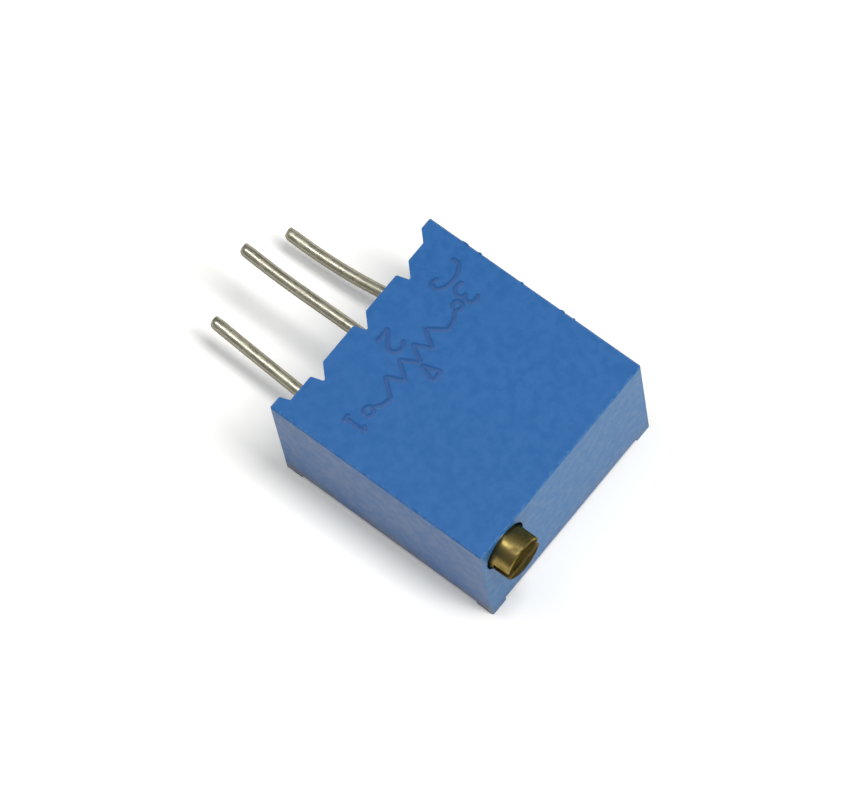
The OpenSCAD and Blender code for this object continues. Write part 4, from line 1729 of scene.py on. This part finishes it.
@dataclass
class Studio:
    """A pale table under soft light, and the camera."""

    floor_r: float = 160.0
    floor_z: float = -0.008
    floor_sides: int = 96
    floor_glow: float = 0.15
    middle_z: float = 3.0
    aim: Point = (-0.41929795, 1.36558935, 3.0)
    place: Point = (-59.81022941, -70.99471745, 227.23084331)
    roll: float = -12.89166
    lens: float = 274.648

    def floor(self) -> Thing:
        """Lays the table: a wide disc with a matt pale surface, whiter where it is seen.

        Returns:
            The table.
        """
        n = self.floor_sides
        turns = [2 * math.pi * k / n for k in range(n)]
        points = [(0.0, 0.0, self.floor_z)]
        for r in (self.floor_r / 4, self.floor_r):
            points += [(r * math.cos(a), r * math.sin(a), self.floor_z) for a in turns]
        rims = [(1 + k, 1 + (k + 1) % n) for k in range(n)]
        faces = [face for a, b in rims for face in ((0, a, b), (a, a + n, b + n, b))]
        disc = to_metres(mesh_object("table", points, faces))
        finish = bpy.data.materials.new("pale_table")
        finish.use_nodes = True
        finish.node_tree.nodes.clear()
        sheet = NodeSheet(finish.node_tree)
        rays = sheet.named("ShaderNodeLightPath")
        seen = [rays[f"Is {kind} Ray"] for kind in ("Camera", "Glossy", "Transmission")]
        surface = {
            "Base Color": (0.93, 0.915, 0.885, 1.0),
            "Roughness": 0.9,
            "Specular IOR Level": 0.1,
            "Emission Color": (1.0, 1.0, 1.0, 1.0),
            "Emission Strength": sheet.times(sheet.largest(*seen), self.floor_glow),
        }
        shader = sheet.add("ShaderNodeBsdfPrincipled", surface)
        sheet.add("ShaderNodeOutputMaterial", {"Surface": shader.outputs[0]})
        disc.data.materials.append(finish)
        return disc

    def sky(self) -> None:
        """Surrounds the table with soft light: white at the horizon, dimmer overhead."""
        world = bpy.data.worlds.new("studio")
        bpy.context.scene.world = world
        world.use_nodes = True
        world.node_tree.nodes.clear()
        sheet = NodeSheet(world.node_tree)
        upright = sheet.parts(sheet.add("ShaderNodeTexCoord").outputs["Generated"])[2]
        tone = sheet.layered(
            (0.9, 0.9, 0.9),
            (sheet.ramp(upright, 0.02, 0.1), (0.2, 0.205, 0.2)),
            (sheet.ramp(upright, 0.55, 0.8), (0.28, 0.3, 0.31)),
        )
        soft = sheet.add("ShaderNodeBackground", {"Color": tone, "Strength": 1.0})
        plain = {"Color": (1.0, 1.0, 1.0, 1.0), "Strength": 1.0}
        white = sheet.add("ShaderNodeBackground", plain)
        rays = sheet.named("ShaderNodeLightPath")
        mirrored = sheet.largest(rays["Is Glossy Ray"], rays["Is Transmission Ray"])
        mirrored = sheet.times(mirrored, sheet.ramp(upright, 0.1, 0.02))
        seen = sheet.largest(rays["Is Camera Ray"], mirrored)
        shaders = {0: seen, 1: soft.outputs[0], 2: white.outputs[0]}
        mixed = sheet.add("ShaderNodeMixShader", shaders)
        sheet.add("ShaderNodeOutputWorld", {"Surface": mixed.outputs[0]})

    def lamp(self, name: str, place: Point, sides: FlatPoint, power: float) -> Thing:
        """Hangs a soft oblong lamp that points at the part, with its second side towards Y.

        Args:
            name: the lamp's name.
            place: where it hangs, in millimetres.
            sides: its two sides, in millimetres.
            power: its power in watts.

        Returns:
            The lamp.
        """
        light = bpy.data.lights.new(name, "AREA")
        light.shape, light.energy = "RECTANGLE", power
        light.size, light.size_y = (side * MM for side in sides)
        thing = placed(name, light)
        back = (Vector(place) - Vector((0.0, 0.0, self.middle_z))).normalized()
        across = Vector((0.0, 1.0, 0.0)).cross(back).normalized()
        turn = Matrix((across, back.cross(across), back)).transposed().to_4x4()
        thing.matrix_world = Matrix.Translation(Vector(place) * MM) @ turn
        return thing

    def camera(self) -> Thing:
        """Sets the camera at its place, aimed and rolled.

        Returns:
            The camera.
        """
        data = bpy.data.cameras.new("camera")
        data.lens, data.sensor_width, data.sensor_fit = self.lens, 36.0, "HORIZONTAL"
        data.clip_start, data.clip_end = 0.01, 5.0
        thing = placed("camera", data)
        place, aim = Vector(self.place) * MM, Vector(self.aim) * MM
        turn = (aim - place).to_track_quat("-Z", "Y").to_matrix().to_4x4()
        roll = Matrix.Rotation(math.radians(self.roll), 4, "Z")
        thing.matrix_world = Matrix.Translation(place) @ turn @ roll
        bpy.context.scene.camera = thing
        return thing

    def build(self) -> None:
        """Sets up the whole studio."""
        bpy.context.scene.view_settings.view_transform = "Standard"
        self.floor()
        self.sky()
        self.lamp("key", (19.0, -60.0, 170.0), (36.0, 100.0), 0.235)
        self.lamp("overhead", (-20.0, 51.0, 161.0), (46.0, 120.0), 0.055)
        self.camera()


def report(piece: Thing, what: str) -> None:
    """Writes one line about a finished piece."""
    LOG.info("%s: %s, %d faces", piece.name, what, len(piece.data.polygons))


def main() -> None:
    """Builds the part's looks in order, then the studio."""
    logging.basicConfig(level=logging.INFO, format="%(name)s %(message)s")
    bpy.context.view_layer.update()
    effects = Effects()
    round_sweep, rib_sweep, ridge_sweep = (PathSweep(s) for s in Section)
    low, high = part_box("housing")
    screw = AdjustmentScrew()
    ends, axis = {"low": tuple(low), "high": tuple(high)}, (screw.x * MM, 0.0, screw.z * MM)
    blue = MouldedBlue("moulded_blue", (0.0145, 0.1165, 0.353), 0.4, **ends).build(effects)
    resin = CastResin("cast_resin", (0.02, 0.06, 0.2), 0.3).build(effects)
    tin = DippedTin("dipped_tin", (0.78, 0.745, 0.6), 0.24).build(effects)
    brass = TurnedMetal("turned_brass", (0.34, 0.255, 0.085), 0.27, axis=axis).build(effects)

    report(MouldedHousing().build(blue), "moulded shell")
    report(FaceMarks(high.z / MM).build(rib_sweep, blue), "raised marks")
    report(EdgeFlash(high.x / MM, high.z / MM).build(round_sweep, blue), "mould flash")
    report(screw.build(ridge_sweep, brass), "slotted screw with its worm")
    back_row, front_row = (BODY_HEIGHT / 2 + side * PIN_GRID / 2 for side in (-1, 1))
    for wire in (
        TerminalWire(1, -PIN_GRID, back_row, kink=4.4, kink_run=0.8, sweep_up=1.0, trim=-0.15),
        TerminalWire(2, 0.0, front_row, kink=-0.5, kink_run=1.9, sweep_up=4.6, trim=0.0),
        TerminalWire(3, PIN_GRID, back_row, kink=-10.0, kink_run=0.3, sweep_up=12.0, trim=0.12),
    ):
        report(wire.build(round_sweep, tin), "tinned wire")
    report(ResinPool().build(resin), "skin of the resin")
    report(InnerPieces.coat("potting", resin), "cast resin")
    for piece in InnerPieces(effects).build():
        report(piece, "packed form, finished")
    Studio().build()
    bpy.context.view_layer.update()


if __name__ == "__main__":
    main()
